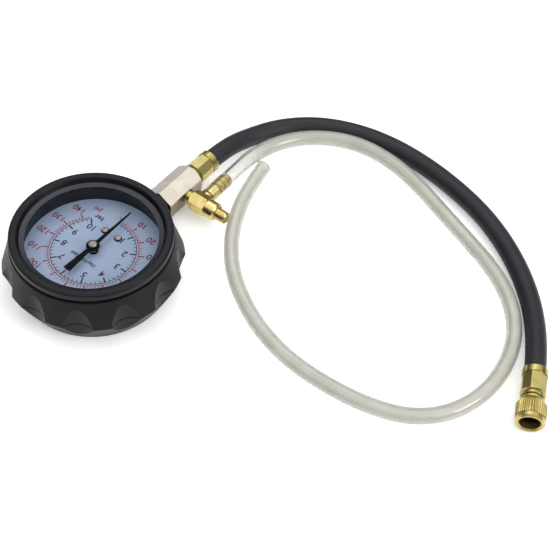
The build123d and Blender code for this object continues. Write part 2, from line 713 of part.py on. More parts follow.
def hairspring_stud():
    """Stud under the front plate where the hairspring's outer end is held."""
    x, y = polar(HAIRSPRING_OUTER_R + HAIRSPRING_STRIP + 0.3 + STUD_R, 180)
    return rod(STUD_R, HAIRSPRING_Z - 0.5, FRONT_PLATE_Z, x=x, y=y)


def pointer():
    """Flat pointer with a broad tail, on a hub with a bush below it."""
    half_tip, half_neck, half_tail = (w / 2 for w in (POINTER_TIP_WIDTH, POINTER_NECK_WIDTH,
                                                       POINTER_TAIL_WIDTH))
    blade = outline([(-half_tip, -POINTER_TIP_R), (half_tip, -POINTER_TIP_R), (half_neck, -3), (half_neck, 3),
                     (half_tail, POINTER_TAIL_R), (-half_tail, POINTER_TAIL_R), (-half_neck, 3),
                     (-half_neck, -3)])
    top = POINTER_Z + POINTER_THICK
    arm = Pos(0, 0, POINTER_Z) * extrude(blade, POINTER_THICK)
    arm += rod(POINTER_HUB_R, POINTER_Z - 0.2, top + 0.4)
    arm += rod(POINTER_BUSH_R, DIAL_Z + 1.6, POINTER_Z)
    return arm - rod(ARBOR_R + FIT / 2, DIAL_Z, top + 0.4)


def pointer_cap():
    """Domed metal cap on the pointer's hub."""
    seat = POINTER_Z + POINTER_THICK + 0.4
    return turned([(0, seat), (CAP_R, seat), (CAP_R, seat + CAP_HEIGHT), (0, seat + CAP_HEIGHT)],
                  [(CAP_R, seat + CAP_HEIGHT, 0.7)])


def hex_manifold():
    """Hex block bored for the stem, the hose nipple and the bleed valve."""
    end = HEX_START + HEX_LENGTH
    body = hexagon(HEX_FLATS, HEX_START, end, STEM_AXIS, (0.0, HEX_CHAMFER))
    body -= rod(STEM_THREAD_R + FIT, HEX_START - 1, HEX_START + STEM_THREAD + 0.5, STEM_AXIS)
    body -= rod(MANIFOLD_BORE_R, HEX_START, end, STEM_AXIS)
    body -= rod(NIPPLE_THREAD_R + FIT, end - NIPPLE_THREAD - 0.3, end + 1, STEM_AXIS)
    body -= rod(VALVE_THREAD_R + FIT, -VALVE_THREAD - 0.2, 1, VALVE_AXIS)
    return body - rod(SEAT_HOLE_R, VALVE_ROOT_X, 0, VALVE_AXIS)


def barbed(core_r, ring_r, rings, pitch, start):
    """Points of a barbed tail: each ring rises steeply and tapers towards the tip."""
    points = []
    for k in range(rings):
        at = start + pitch * k
        points += [(core_r, at), (ring_r, at + 0.15), (core_r, at + pitch * 0.8)]
    return points


def valve_barb():
    """Barb for the drain tube, standing out of the valve's side."""
    root = CHAMBER_R
    face = VALVE_FLATS / 2
    end = face + BARB_LENGTH
    points = [(0, root), (BARB_CORE_R, root), (BARB_COLLAR_R, face - 0.5),
              (BARB_COLLAR_R, face + BARB_COLLAR), (BARB_CORE_R, face + BARB_COLLAR)]
    first = end - BARB_RINGS * BARB_PITCH
    points += barbed(BARB_CORE_R, BARB_RING_R, BARB_RINGS, BARB_PITCH, first)
    points += [(BARB_CORE_R - 0.3, end), (0, end)]
    return turned(points, at=BARB_AXIS)


def valve_body():
    """Hex valve body with its threaded neck, seat, chamber and barb."""
    body = rod(VALVE_THREAD_R, -VALVE_THREAD, VALVE_NECK, VALVE_AXIS)
    body += hexagon(VALVE_FLATS, VALVE_NECK, HEX_END, VALVE_AXIS, (VALVE_CHAMFER, VALVE_CHAMFER))
    body += valve_barb()
    body -= rod(INLET_R, -VALVE_THREAD - 1, INLET_DEPTH, VALVE_AXIS)
    body -= rod(SEAT_HOLE_R, INLET_DEPTH - 1, INLET_DEPTH + SEAT + 1, VALVE_AXIS)
    body -= rod(CHAMBER_R, INLET_DEPTH + SEAT, HEX_END + 1, VALVE_AXIS)
    return body - rod(BARB_BORE_R, 0, VALVE_FLATS / 2 + BARB_LENGTH + 1, BARB_AXIS)


def valve_bonnet():
    """Turned bonnet screwed into the valve body, with the button's guide bore."""
    end = HEX_END + BONNET
    step = HEX_END + BONNET - BONNET_STEP
    spigot = HEX_END - SPIGOT
    guide = BUTTON_R + RUNNING
    points = [
        (BONNET_BORE_R, spigot), (CHAMBER_R - FIT, spigot), (CHAMBER_R - FIT, HEX_END),
        (BONNET_R, HEX_END), (BONNET_R, end), (guide, end), (guide, step), (BONNET_BORE_R, step),
    ]
    bonnet = outline(points)
    corner = bonnet.vertices().sort_by_distance((BONNET_R, end, 0))[0]
    bonnet = chamfer(corner, 0.9)
    return VALVE_AXIS * revolve(Plane.XZ * bonnet, Axis.Z)


def push_button():
    """Hollow button that slides in the bonnet."""
    inner = HEX_END + BONNET - BONNET_STEP + BUTTON_TRAVEL + 0.2
    end = HEX_END + BONNET + BUTTON_OUT
    crown = end - BUTTON_CROWN
    points = [(BUTTON_BORE_R, inner), (BUTTON_R, inner), (BUTTON_R, end), (0, end), (0, crown),
              (BUTTON_BORE_R, crown)]
    plan = outline(points)
    corner = plan.vertices().sort_by_distance((BUTTON_R, end, 0))[0]
    plan = chamfer(corner, 0.8)
    return VALVE_AXIS * revolve(Plane.XZ * plan, Axis.Z)


def poppet_face():
    """Distance along the valve to the poppet's face, one seal short of the seat."""
    return INLET_DEPTH - SEAL


def valve_stem():
    """Stem from the button's crown through the seat to the poppet."""
    crown = HEX_END + BONNET + BUTTON_OUT - BUTTON_CROWN
    face = poppet_face()
    points = [(0, face - POPPET), (POPPET_R, face - POPPET), (POPPET_R, face), (VALVE_STEM_R, face),
              (VALVE_STEM_R, crown), (0, crown)]
    return turned(points, at=VALVE_AXIS)


def valve_seal():
    """Rubber washer between the poppet and its seat."""
    face = poppet_face()
    inner, outer = VALVE_STEM_R + FIT, POPPET_R
    return turned([(inner, face), (outer, face), (outer, face + SEAL), (inner, face + SEAL)],
                  at=VALVE_AXIS)


def button_spring():
    """Coil spring between the bonnet's step and the button's crown."""
    start = HEX_END + BONNET - BONNET_STEP + SPRING_WIRE_R + 0.02
    end = HEX_END + BONNET + BUTTON_OUT - BUTTON_CROWN - SPRING_WIRE_R - 0.02
    path = Helix((end - start) / SPRING_TURNS, end - start, SPRING_R)
    section = Plane(origin=path @ 0, z_dir=path % 0) * Circle(SPRING_WIRE_R)
    return VALVE_AXIS * Pos(0, 0, start) * sweep(section, path)


def ferrule(at):
    """Crimped ferrule with eight flats, a flared mouth and a bead at its closed end."""
    wall = NIPPLE_SHOULDER_R + FIT
    lock = NIPPLE_GROOVE_R + FIT
    hose = HOSE_R + FIT
    bead = FERRULE - BEAD
    lock_start = FERRULE - NIPPLE_SHOULDER - NIPPLE_GROOVE + 0.2
    lock_end = FERRULE - NIPPLE_SHOULDER
    points = [
        (hose, 0), (FERRULE_R, 0), (FERRULE_R, bead - 1.4), (FERRULE_NECK_R, bead - 0.7),
        (FERRULE_NECK_R, bead), (BEAD_R, bead), (BEAD_R, FERRULE), (wall, FERRULE), (wall, lock_end),
        (lock, lock_end), (lock, lock_start), (hose, lock_start),
    ]
    shell = turned(points, [(FERRULE_R, 0, 0.9), (BEAD_R, bead, 0.5), (BEAD_R, FERRULE, 0.5)])
    crimp = Circle(FERRULE_R + 1) - RegularPolygon(FERRULE_FLATS / 2, FERRULE_SIDES, major_radius=False,
                                                   rotation=180 / FERRULE_SIDES)
    shell -= Pos(0, 0, FLATS_START) * extrude(crimp, FLATS_LENGTH)
    return at * shell


def nipple_points():
    """Barbed tail and locking groove that both hose nipples share, from the ferrule's mouth."""
    shoulder = FERRULE - NIPPLE_SHOULDER
    groove = shoulder - NIPPLE_GROOVE
    pitch = (HOSE_GRIP - 3) / NIPPLE_RINGS
    tail = [(NIPPLE_BORE_R, 1.0), (NIPPLE_TAIL_R - 0.4, 1.0)]
    for k in range(NIPPLE_RINGS):
        at = 1.6 + pitch * k
        tail += [(NIPPLE_TAIL_R, at), (NIPPLE_RING_R, at + pitch * 0.75), (NIPPLE_TAIL_R, at + pitch * 0.8)]
    return tail + [(NIPPLE_TAIL_R, groove - 0.4), (NIPPLE_GROOVE_R, groove - 0.4),
                   (NIPPLE_GROOVE_R, shoulder), (NIPPLE_SHOULDER_R, shoulder)]


def hose_nipple():
    """Nipple that screws into the manifold and grips the hose."""
    face = FERRULE + FERRULE_GAP
    end = face + NIPPLE_THREAD
    points = nipple_points() + [
        (NIPPLE_SHOULDER_R, face), (NIPPLE_THREAD_R, face), (NIPPLE_THREAD_R, end), (NIPPLE_BORE_R, end),
    ]
    return turned(points, at=NEAR_AXIS)


def swivel_tailpiece():
    """Far nipple, whose flange holds the swivel nut."""
    flange = FERRULE + NUT_START + NUT_BACK_WALL + SWIVEL_PLAY
    face = flange + SWIVEL_FLANGE
    foot = face - 0.8
    points = nipple_points() + [
        (NIPPLE_SHOULDER_R, FERRULE + 0.4), (SWIVEL_R, FERRULE + 0.4), (SWIVEL_R, flange),
        (SWIVEL_FLANGE_R, flange), (SWIVEL_FLANGE_R, face), (DEPRESSOR_FOOT_R + FIT, face),
        (DEPRESSOR_FOOT_R + FIT, foot), (NIPPLE_BORE_R, foot),
    ]
    return turned(points, at=FAR_AXIS)


def seal_face():
    """Distance from the far ferrule's end to the tailpiece's sealing face."""
    return NUT_START + NUT_BACK_WALL + SWIVEL_PLAY + SWIVEL_FLANGE


def nut_washer():
    """Rubber washer on the tailpiece's face."""
    start = seal_face()
    return turned([(WASHER_BORE_R, start), (WASHER_R, start), (WASHER_R, start + WASHER),
                   (WASHER_BORE_R, start + WASHER)], at=SWIVEL_AXIS)


def core_depressor():
    """Pin on a pierced foot, which opens the core of the port that the nut is screwed on."""
    start = seal_face() - 0.8
    pin = rod(DEPRESSOR_FOOT_R, start, start + 0.8, SWIVEL_AXIS)
    for k in range(3):
        x, y = polar(1.6, 120 * k)
        pin -= rod(0.45, start - 1, start + 2, SWIVEL_AXIS, x=x, y=y)
    return pin + rod(DEPRESSOR_R, start, seal_face() + WASHER + DEPRESSOR_TIP, SWIVEL_AXIS)


def knurl_cutter(start, end):
    """V-grooves round the nut between two stations."""
    half = math.pi * NUT_R / KNURL_COUNT * 0.9
    groove = make_face(Polyline((NUT_R - KNURL_DEPTH, 0), (NUT_R + 0.1, half), (NUT_R + 0.1, -half),
                                close=True))
    one = Pos(0, 0, start) * extrude(groove, end - start)
    return [Rot(0, 0, 360 / KNURL_COUNT * k) * one for k in range(KNURL_COUNT)]


def swivel_nut():
    """Knurled nut with a smooth front ring and a threaded mouth."""
    knurl = NUT_START + NUT_TAPER
    groove = knurl + KNURL_LENGTH
    ring = groove + NUT_GROOVE
    end = ring + NUT_RING
    wall = NUT_START + NUT_BACK_WALL
    points = [
        (NUT_HOLE_R, NUT_START), (NUT_BACK_R, NUT_START), (NUT_BACK_R, NUT_START + 1.2), (NUT_R, knurl),
        (NUT_R, groove), (NUT_GROOVE_R, groove), (NUT_GROOVE_R, ring), (NUT_RING_R, ring),
        (NUT_RING_R, end - 1.0), (NUT_FRONT_R, end), (THREAD_R + THREAD_CHAMFER, end),
        (THREAD_R, end - THREAD_CHAMFER), (THREAD_R, RELIEF_END), (RELIEF_R, RELIEF_END),
        (RELIEF_R, wall), (NUT_HOLE_R, wall),
    ]
    nut = turned(points) - knurl_cutter(knurl - 1.5, groove + 0.1)
    return SWIVEL_AXIS * nut


def cord(route, radius, bore, name):
    """Tube along straight runs joined by tangent arcs as large as the runs allow."""
    points = [Vector(*p) for p in route]
    runs = [b - a for a, b in zip(points, points[1:])]
    radii = [RUN_SHARE * min(a.length, b.length) / math.tan(math.radians(a.get_angle(b) / 2))
             for a, b in zip(runs, runs[1:])]
    path = FilletPolyline(*points, radius=radii)
    start = Plane(origin=points[0], z_dir=runs[0])
    tube = sweep(start * Circle(radius), path) - sweep(start * Circle(bore), path)
    expected = math.pi * (radius ** 2 - bore ** 2) * path.length
    print(name, "radii", [round(r) for r in radii], "length", round(path.length, 1),
          "volume share", round(tube.volume / expected, 4))
    return tube


def black_hose():
    """Rubber test hose."""
    return cord(HOSE_ROUTE, HOSE_R, HOSE_BORE_R, "black_hose")


def drain_tube():
    """Clear drain tube with a cut end."""
    return cord(TUBE_ROUTE, TUBE_R, TUBE_BORE_R, "drain_tube")


PARTS = {
    "rubber_boot": rubber_boot,
    "gauge_case": gauge_case,
    "bezel_ring": bezel_ring,
    "window_gasket": window_gasket,
    "window": window,
    "dial_plate": dial_plate,
    "dial_screws": dial_screws,
    "dial_posts": dial_posts,
    "socket_block": socket_block,
    "case_screws": case_screws,
    "bourdon_tube": bourdon_tube,
    "tube_tip": tube_tip,
    "link": link,
    "link_screw": link_screw,
    "sector_gear": sector_gear,
    "pinion_arbor": pinion_arbor,
    "hairspring": hairspring,
    "hairspring_stud": hairspring_stud,
    "movement_back_plate": movement_back_plate,
    "movement_front_plate": movement_front_plate,
    "movement_pillars": movement_pillars,
    "movement_screws": movement_screws,
    "pointer": pointer,
    "pointer_cap": pointer_cap,
    "hex_manifold": hex_manifold,
    "valve_body": valve_body,
    "valve_bonnet": valve_bonnet,
    "push_button": push_button,
    "valve_stem": valve_stem,
    "valve_seal": valve_seal,
    "button_spring": button_spring,
    "hose_nipple": hose_nipple,
    "ferrule_near": lambda: ferrule(NEAR_AXIS),
    "black_hose": black_hose,
    "ferrule_far": lambda: ferrule(FAR_AXIS),
    "swivel_tailpiece": swivel_tailpiece,
    "nut_washer": nut_washer,
    "core_depressor": core_depressor,
    "swivel_nut": swivel_nut,
    "drain_tube": drain_tube,
}

os.makedirs("parts", exist_ok=True)
for node, make in PARTS.items():
    export_step(make(), f"parts/{node}.step")
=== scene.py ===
"""Fuel pressure gauge with its hose, bleed valve and drain tube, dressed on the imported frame.

Lengths are in metres unless a name ends in _mm, and angles in radians unless it ends in _degrees.
"""

import logging
import math
from dataclasses import dataclass, replace
from enum import Enum
from typing import Any

import bpy
from mathutils import Matrix, Vector


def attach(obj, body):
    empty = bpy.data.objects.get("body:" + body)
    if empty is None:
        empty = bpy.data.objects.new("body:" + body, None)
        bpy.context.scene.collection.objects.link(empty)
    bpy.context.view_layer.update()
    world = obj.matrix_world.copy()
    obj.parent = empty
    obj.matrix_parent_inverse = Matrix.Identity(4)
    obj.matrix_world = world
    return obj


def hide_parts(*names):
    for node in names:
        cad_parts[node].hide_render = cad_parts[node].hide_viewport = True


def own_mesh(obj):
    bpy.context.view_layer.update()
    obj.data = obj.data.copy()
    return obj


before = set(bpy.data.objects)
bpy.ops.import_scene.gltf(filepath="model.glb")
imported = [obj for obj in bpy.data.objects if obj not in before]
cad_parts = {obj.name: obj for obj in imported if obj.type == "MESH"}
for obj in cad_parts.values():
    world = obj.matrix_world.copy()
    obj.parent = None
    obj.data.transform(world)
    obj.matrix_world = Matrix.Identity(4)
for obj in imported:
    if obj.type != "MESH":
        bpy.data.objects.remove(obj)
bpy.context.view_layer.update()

log = logging.getLogger("gauge")
MM = 0.001

Thing = bpy.types.Object
Node = bpy.types.Node
Socket = bpy.types.NodeSocket
Point = tuple[float, float, float]
Span = tuple[float, float]

# Heights, axes and mouths that the frame's nodes have
STEM_Z_MM = 13.5
DIAL_Z_MM = 25.0
NEAR_MOUTH_Y_MM = -115.0
VALVE_ROOT_X_MM = -9.5
VALVE_Y_MM = -80.0
BARB_X_MM = -19.3
NUT_R_MM = 9.05
FAR_MOUTH_MM = (-255.5, -103.7)
FAR_DEGREES = 113.9
FAR_WAY = Vector((math.cos(math.radians(FAR_DEGREES)), math.sin(math.radians(FAR_DEGREES)), 0.0))
NUT_MOUTH_ALONG_MM = 34.5

# Socket numbers of a Mix node that mixes colours, because its sockets share their names
MIX_FACTOR, MIX_A, MIX_B, MIX_RESULT = 0, 6, 7, 2
# Values between which nearly all of a noise pattern lies
NOISE: Span = (0.3, 0.7)


class Ink(Enum):
    """The dial's two printing inks, as sRGB hex."""

    BAR = "#16181d"
    PSI = "#962431"


class Body(str, Enum):
    """Bodies of the frame that new pieces ride on."""

    GAUGE = "gauge"
    POINTER = "pointer_shaft"
    NUT = "nut"


class Slot(str, Enum):
    """Material slots of the record that new pieces belong to."""

    DIAL = "dial_white"
    POINTER = "pointer_black"
    CAP = "cap_nickel"
    SCREW = "screw_steel"
    SPRING = "spring_steel"
    VALVE = "valve_brass"
    NUT = "nut_brass"
    HOSE = "hose_rubber"
    TUBE = "tube_clear"


# ---------------- materials


def linear(hex_colour: str) -> tuple[float, float, float, float]:
    """Turns an sRGB hex colour to linear values, by the standard's own curve.

    Args:
        hex_colour: colour as "#rrggbb".

    Returns:
        Linear red, green and blue, and an alpha of one.
    """
    parts = [int(hex_colour[i:i + 2], 16) / 255 for i in (1, 3, 5)]
    r, g, b = (v / 12.92 if v <= 0.04045 else ((v + 0.055) / 1.055) ** 2.4 for v in parts)
    return (r, g, b, 1.0)


@dataclass
class Nodes:
    """A node tree with its main node, such as a material's shader."""

    tree: bpy.types.NodeTree
    main: Node

    def add(self, kind: str, settings: dict[Any, Any] | None = None,
            links: dict[Any, Socket] | None = None) -> Node:
        """Adds a node with its settings and links.

        Args:
            kind: the node's type name.
            settings: property names or sockets and their values; "stops" holds the places and
                sRGB hex colours of a colour ramp.
            links: sockets and the outputs that feed them.

        Returns:
            The new node.
        """
        node = self.tree.nodes.new(kind)
        for key, value in (settings or {}).items():
            if key == "stops":
                elements = node.color_ramp.elements
                while len(elements) < len(value):
                    elements.new(0.5)
                for element, (place, colour) in zip(elements, value):
                    element.position = place
                    element.color = linear(colour)
            elif isinstance(key, str) and hasattr(node, key):
                setattr(node, key, value)
            else:
                node.inputs[key].default_value = value
        for key, source in (links or {}).items():
            self.tree.links.new(source, node.inputs[key])
        return node

    def feed(self, socket: str, source: Socket) -> None:
        """Links an output to a socket of the main node."""
        self.tree.links.new(source, self.main.inputs[socket])

    def place(self, stretch: Point = (1.0, 1.0, 1.0)) -> Socket:
        """Adds object coordinates in millimetres.

        Args:
            stretch: scale along each axis.

        Returns:
            The coordinates' output.
        """
        where = self.add("ShaderNodeTexCoord")
        return self.add("ShaderNodeMapping", {"Scale": tuple(s / MM for s in stretch)},
                        {"Vector": where.outputs["Object"]}).outputs["Vector"]

    def tint(self, pattern: Node, stops: list[tuple[float, str]]) -> None:
        """Lets the colour follow a pattern.

        Args:
            pattern: the pattern.
            stops: places on it and their sRGB hex colours.
        """
        colour = self.add("ShaderNodeValToRGB", {"stops": stops}, {"Fac": pattern.outputs["Fac"]})
        self.feed("Base Color", colour.outputs["Color"])

    def polish(self, pattern: Node, low: float, high: float, span: Span = NOISE) -> None:
        """Lets the roughness follow a pattern.

        Args:
            pattern: the pattern.
            low: roughness where the pattern is low.
            high: roughness where it is high.
            span: the pattern's values there.
        """
        follow = self.add("ShaderNodeMapRange",
                          {"From Min": span[0], "From Max": span[1], "To Min": low, "To Max": high},
                          {"Value": pattern.outputs["Fac"]})
        self.feed("Roughness", follow.outputs["Result"])

    def relief(self, pattern: Node, depth_mm: float, strength: float) -> None:
        """Lets a pattern stand up from the surface.

        Args:
            pattern: the pattern.
            depth_mm: height of the pattern.
            strength: share of that height that the light sees.
        """
        bump = self.add("ShaderNodeBump", {"Strength": strength, "Distance": depth_mm * MM},
                        {"Height": pattern.outputs["Fac"]})
        self.feed("Normal", bump.outputs["Normal"])


@dataclass(frozen=True)
class Finish:
    """What every finish has: a name, a main colour and one main shader."""

    name: str
    colour: str

    def build(self) -> bpy.types.Material:
        """Builds the material.

        Returns:
            The material.
        """
        material = bpy.data.materials.new(self.name)
        material.use_nodes = True
        nodes = Nodes(material.node_tree, material.node_tree.nodes["Principled BSDF"])
        nodes.main.inputs["Base Color"].default_value = linear(self.colour)
        self.surface(nodes, nodes.place())
        return material

    def surface(self, nodes: Nodes, where: Socket) -> None:
        """Gives the shader what is special to the finish.

        Args:
            nodes: the material's nodes.
            where: place on the piece, in millimetres.
        """
        raise NotImplementedError


@dataclass(frozen=True)
class MouldedRubber(Finish):
    """Nitrile rubber from a spark-eroded mould or a die: near-black, satin, with an even grain."""

    worn: str
    roughness: float = 0.42
    smoother: float = 0.04
    rougher: float = 0.06
    patch_mm: float = 18.0
    grain_mm: float = 0.35
    grain_depth_mm: float = 0.015
    specular: float = 0.45

    def surface(self, nodes: Nodes, where: Socket) -> None:
        """Adds the worn patches and the mould's grain.

        Args:
            nodes: the material's nodes.
            where: place on the piece, in millimetres.
        """
        # Handling leaves broad, slightly greyer patches on the black
        patches = nodes.add("ShaderNodeTexNoise", {"Scale": 1 / self.patch_mm, "Detail": 3.0},
                            {"Vector": where})
        nodes.tint(patches, [(0.35, self.colour), (0.75, self.worn)])
        nodes.polish(patches, self.roughness - self.smoother, self.roughness + self.rougher)
        grain = nodes.add("ShaderNodeTexNoise", {"Scale": 1 / self.grain_mm, "Detail": 2.0},
                          {"Vector": where})
        nodes.relief(grain, self.grain_depth_mm, 0.5)
        nodes.main.inputs["Specular IOR Level"].default_value = self.specular


@dataclass(frozen=True)
class TurnedMetal(Finish):
    """Metal as the lathe left it: fine feed marks round X, the valve's axis, and light tarnish."""

    tarnish: str
    roughness: float
    brighter: float = 0.8
    duller: float = 1.4
    patch_mm: float = 4.0
    feed_mm: float = 0.25
    feed_depth_mm: float = 0.0015
    wave_repeat: float = 0.314

    def surface(self, nodes: Nodes, where: Socket) -> None:
        """Adds the tarnish and the tool's feed marks.

        Args:
            nodes: the material's nodes.
            where: place on the piece, in millimetres.
        """
        patches = nodes.add("ShaderNodeTexNoise", {"Scale": 1 / self.patch_mm, "Detail": 4.0},
                            {"Vector": where})
        nodes.tint(patches, [(0.4, self.colour), (0.72, self.tarnish)])
        nodes.polish(patches, self.roughness * self.brighter, self.roughness * self.duller)
        # The real feed is about 0.1 mm: it is drawn coarser, so that it still breaks the sheen.
        # At scale 1 a Wave node repeats every wave_repeat.
        feed = nodes.add("ShaderNodeTexWave",
                         {"wave_type": "BANDS", "bands_direction": "X",
                          "Scale": self.wave_repeat / self.feed_mm, "Distortion": 0.6},
                         {"Vector": where})
        nodes.relief(feed, self.feed_depth_mm, 0.6)
        nodes.main.inputs["Metallic"].default_value = 1.0


@dataclass(frozen=True)
class PlatedMetal(Finish):
    """Plated metal: an even sheen whose colour drifts softly, as chromate and nickel do."""

    drift: str
    accent: str
    patch_mm: float
    roughness: float
    brighter: float = 0.8
    duller: float = 1.3
    brush_mm: float = 0.12
    brush_depth_mm: float = 0.0006
    brushed_along: Point = (1.0, 0.06, 1.0)
    brush_span: Span = (0.25, 0.75)
    # Colour of the painted shade on the low faces, the height where it ends, and how far it fades
    low: str = "#ffffff"
    low_mm: float = 0.0
    low_fade_mm: float = 2.5

    def surface(self, nodes: Nodes, where: Socket) -> None:
        """Adds the drifting colour, painted shade on the low faces and the brushing.

        Args:
            nodes: the material's nodes.
            where: place on the piece, in millimetres.
        """
        patches = nodes.add("ShaderNodeTexNoise",
                            {"Scale": 1 / self.patch_mm, "Detail": 2.0, "Distortion": 0.6},
                            {"Vector": where})
        shades = nodes.add("ShaderNodeValToRGB",
                           {"stops": [(0.34, self.drift), (0.5, self.colour), (0.68, self.accent)]},
                           {"Fac": patches.outputs["Fac"]})
        colour = shades.outputs["Color"]
        # Painted shade on the low faces, when a height for it is given
        if self.low_mm:
            colour = self.unbuffed(nodes, where, colour)
        nodes.feed("Base Color", colour)
        brush = nodes.add("ShaderNodeTexNoise", {"Scale": 1 / self.brush_mm, "Detail": 2.0},
                          {"Vector": nodes.place(self.brushed_along)})
        nodes.polish(brush, self.roughness * self.brighter, self.roughness * self.duller,
                     self.brush_span)
        nodes.relief(brush, self.brush_depth_mm, 0.5)
        nodes.main.inputs["Metallic"].default_value = 1.0

    def unbuffed(self, nodes: Nodes, where: Socket, colour: Socket) -> Socket:
        """Paints shade on the low faces: the colour darkens towards the bottom of the piece.

        Args:
            nodes: the material's nodes.
            where: place on the piece, in millimetres.
            colour: the plating's colour.

        Returns:
            The colour with painted shade on its low part.
        """
        # Painted shade: below a height the colour is multiplied by a darker grey
        height = nodes.add("ShaderNodeSeparateXYZ", links={"Vector": where})
        rise = nodes.add("ShaderNodeMapRange",
                         {"From Min": self.low_mm - self.low_fade_mm, "From Max": self.low_mm},
                         {"Value": height.outputs["Z"]})
        skin = nodes.add("ShaderNodeValToRGB", {"stops": [(0.0, self.low), (1.0, "#ffffff")]},
                         {"Fac": rise.outputs["Result"]})
        dulled = nodes.add("ShaderNodeMix",
                           {"data_type": "RGBA", "blend_type": "MULTIPLY", MIX_FACTOR: 1.0},
                           {MIX_A: colour, MIX_B: skin.outputs["Color"]})
        return dulled.outputs[MIX_RESULT]


@dataclass(frozen=True)
class Paint(Finish):
    """Sprayed or printed paint: even colour with a faint orange-peel skin."""

    roughness: float
    shade: str = ""
    smoother: float = 0.92
    rougher: float = 1.08
    patch_mm: float = 25.0
    peel_mm: float = 0.6
    peel_depth_mm: float = 0.003
    specular: float = 0.5

    def surface(self, nodes: Nodes, where: Socket) -> None:
        """Adds the slight unevenness of the coat and its peel.

        Args:
            nodes: the material's nodes.
            where: place on the piece, in millimetres.
        """
        peel = nodes.add("ShaderNodeTexNoise", {"Scale": 1 / self.peel_mm, "Detail": 1.0},
                         {"Vector": where})
        patches = nodes.add("ShaderNodeTexNoise", {"Scale": 1 / self.patch_mm, "Detail": 1.0},
                            {"Vector": where})
        nodes.tint(patches, [(0.3, self.colour), (0.7, self.shade or self.colour)])
        nodes.polish(peel, self.roughness * self.smoother, self.roughness * self.rougher)
        nodes.relief(peel, self.peel_depth_mm, 0.4)
        nodes.main.inputs["Specular IOR Level"].default_value = self.specular


@dataclass(frozen=True)
class ClearVinyl(Finish):
    """Soft vinyl with a milky bloom, clear only where it is stretched tight over the barb."""

    smoke: str
    tight_at_mm: Point
    tight_reach_mm: Span = (28.0, 60.0)
    tight_across: float = 6.0
    stretched: str = "#f3f3f2"
    # Grey of the painted shade where the tube's wall is seen at a slant
    wall: str = "#d8d8d2"
    bloom: float = 0.62
    haze_mm: float = 12.0
    roughness: float = 0.06
    rougher: float = 2.0
    ior: float = 1.48

    def surface(self, nodes: Nodes, where: Socket) -> None:
        """Adds the milky bloom and the clear end.

        Args:
            nodes: the material's nodes.
            where: place on the piece, in millimetres.
        """
        haze = nodes.add("ShaderNodeTexNoise", {"Scale": 1 / self.haze_mm, "Detail": 2.0},
                         {"Vector": where})
        milk = nodes.add("ShaderNodeValToRGB", {"stops": [(0.35, self.colour), (0.7, self.smoke)]},
                         {"Fac": haze.outputs["Fac"]})
        # Painted shade: where the wall is seen at a slant its colour greys, standing in for the
        # longer path that light takes through the vinyl at the tube's edges
        slant = nodes.add("ShaderNodeLayerWeight", {"Blend": 0.5})
        slant_shade = nodes.add("ShaderNodeValToRGB", {"stops": [(0.45, "#ffffff"), (0.95, self.wall)]},
                          {"Fac": slant.outputs["Facing"]})
        tinted = nodes.add("ShaderNodeMix",
                           {"data_type": "RGBA", "blend_type": "MULTIPLY", MIX_FACTOR: 1.0},
                           {MIX_A: milk.outputs["Color"], MIX_B: slant_shade.outputs["Color"]})
        nodes.polish(haze, self.roughness, self.roughness * self.rougher)
        # Vinyl blooms with plasticiser as it ages, but the stretched end stays bright
        x, y, z = self.tight_at_mm
        away = nodes.add("ShaderNodeVectorMath",
                         {"operation": "DISTANCE", 1: (x * self.tight_across, y, z)},
                         {0: nodes.place((self.tight_across, 1.0, 1.0))})
        aged = nodes.add("ShaderNodeMapRange",
                         {"From Min": self.tight_reach_mm[0], "From Max": self.tight_reach_mm[1]},
                         {"Value": away.outputs["Value"]})
        through = nodes.add("ShaderNodeMapRange", {"To Min": 1.0, "To Max": self.bloom},
                            {"Value": aged.outputs["Result"]})
        nodes.feed("Transmission Weight", through.outputs["Result"])
        colour = nodes.add("ShaderNodeMix", {"data_type": "RGBA", MIX_A: linear(self.stretched)},
                           {MIX_FACTOR: aged.outputs["Result"], MIX_B: tinted.outputs[MIX_RESULT]})
        nodes.feed("Base Color", colour.outputs[MIX_RESULT])
        nodes.main.inputs["IOR"].default_value = self.ior


@dataclass(frozen=True)
class ClearPane(Finish):
    """Clear acrylic, seen straight through: a thin film on it dulls what lies behind a little."""

    opacity: float = 0.05
    smear_mm: float = 15.0
    roughness: float = 0.03
    rougher: float = 3.0
    ior: float = 1.49

    def surface(self, nodes: Nodes, where: Socket) -> None:
        """Adds the wiped smears and the see-through film.

        Args:
            nodes: the material's nodes.
            where: place on the piece, in millimetres.
        """
        smear = nodes.add("ShaderNodeTexNoise", {"Scale": 1 / self.smear_mm, "Detail": 3.0},
                          {"Vector": where})
        nodes.polish(smear, self.roughness, self.roughness * self.rougher)
        nodes.main.inputs["Alpha"].default_value = self.opacity
        # The photograph's window throws no light back, so the pane has no gloss of its own
        nodes.main.inputs["Specular IOR Level"].default_value = 0.0
        nodes.main.inputs["IOR"].default_value = self.ior


# Rubber: the boot's lip and scallops show only as a soft, dark sheen, seals are dead matt, and
# the hose is greyer, with one broad streak and a coarser grain from its die.
BOOT_RUBBER = MouldedRubber("moulded_nitrile_rubber", "#0b0c10", worn="#14151a", specular=0.22)
SEAL_RUBBER = MouldedRubber("seal_rubber", "#0d0d0e", worn="#17171a", roughness=0.6)
HOSE_RUBBER = MouldedRubber("extruded_hose_rubber", "#1b1c20", worn="#25262b", roughness=0.5,
                            grain_mm=0.8, grain_depth_mm=0.04, specular=0.35)

# Nickel on the hex bar: warm silver flats that mirror the light table, the lowest with painted
# shade.
NICKEL = PlatedMetal("satin_nickel_plate", "#dcd4c6", drift="#d3cbbc", accent="#e1dace",
                     patch_mm=12.0, roughness=0.26, low="#a69f92", low_mm=19.2)
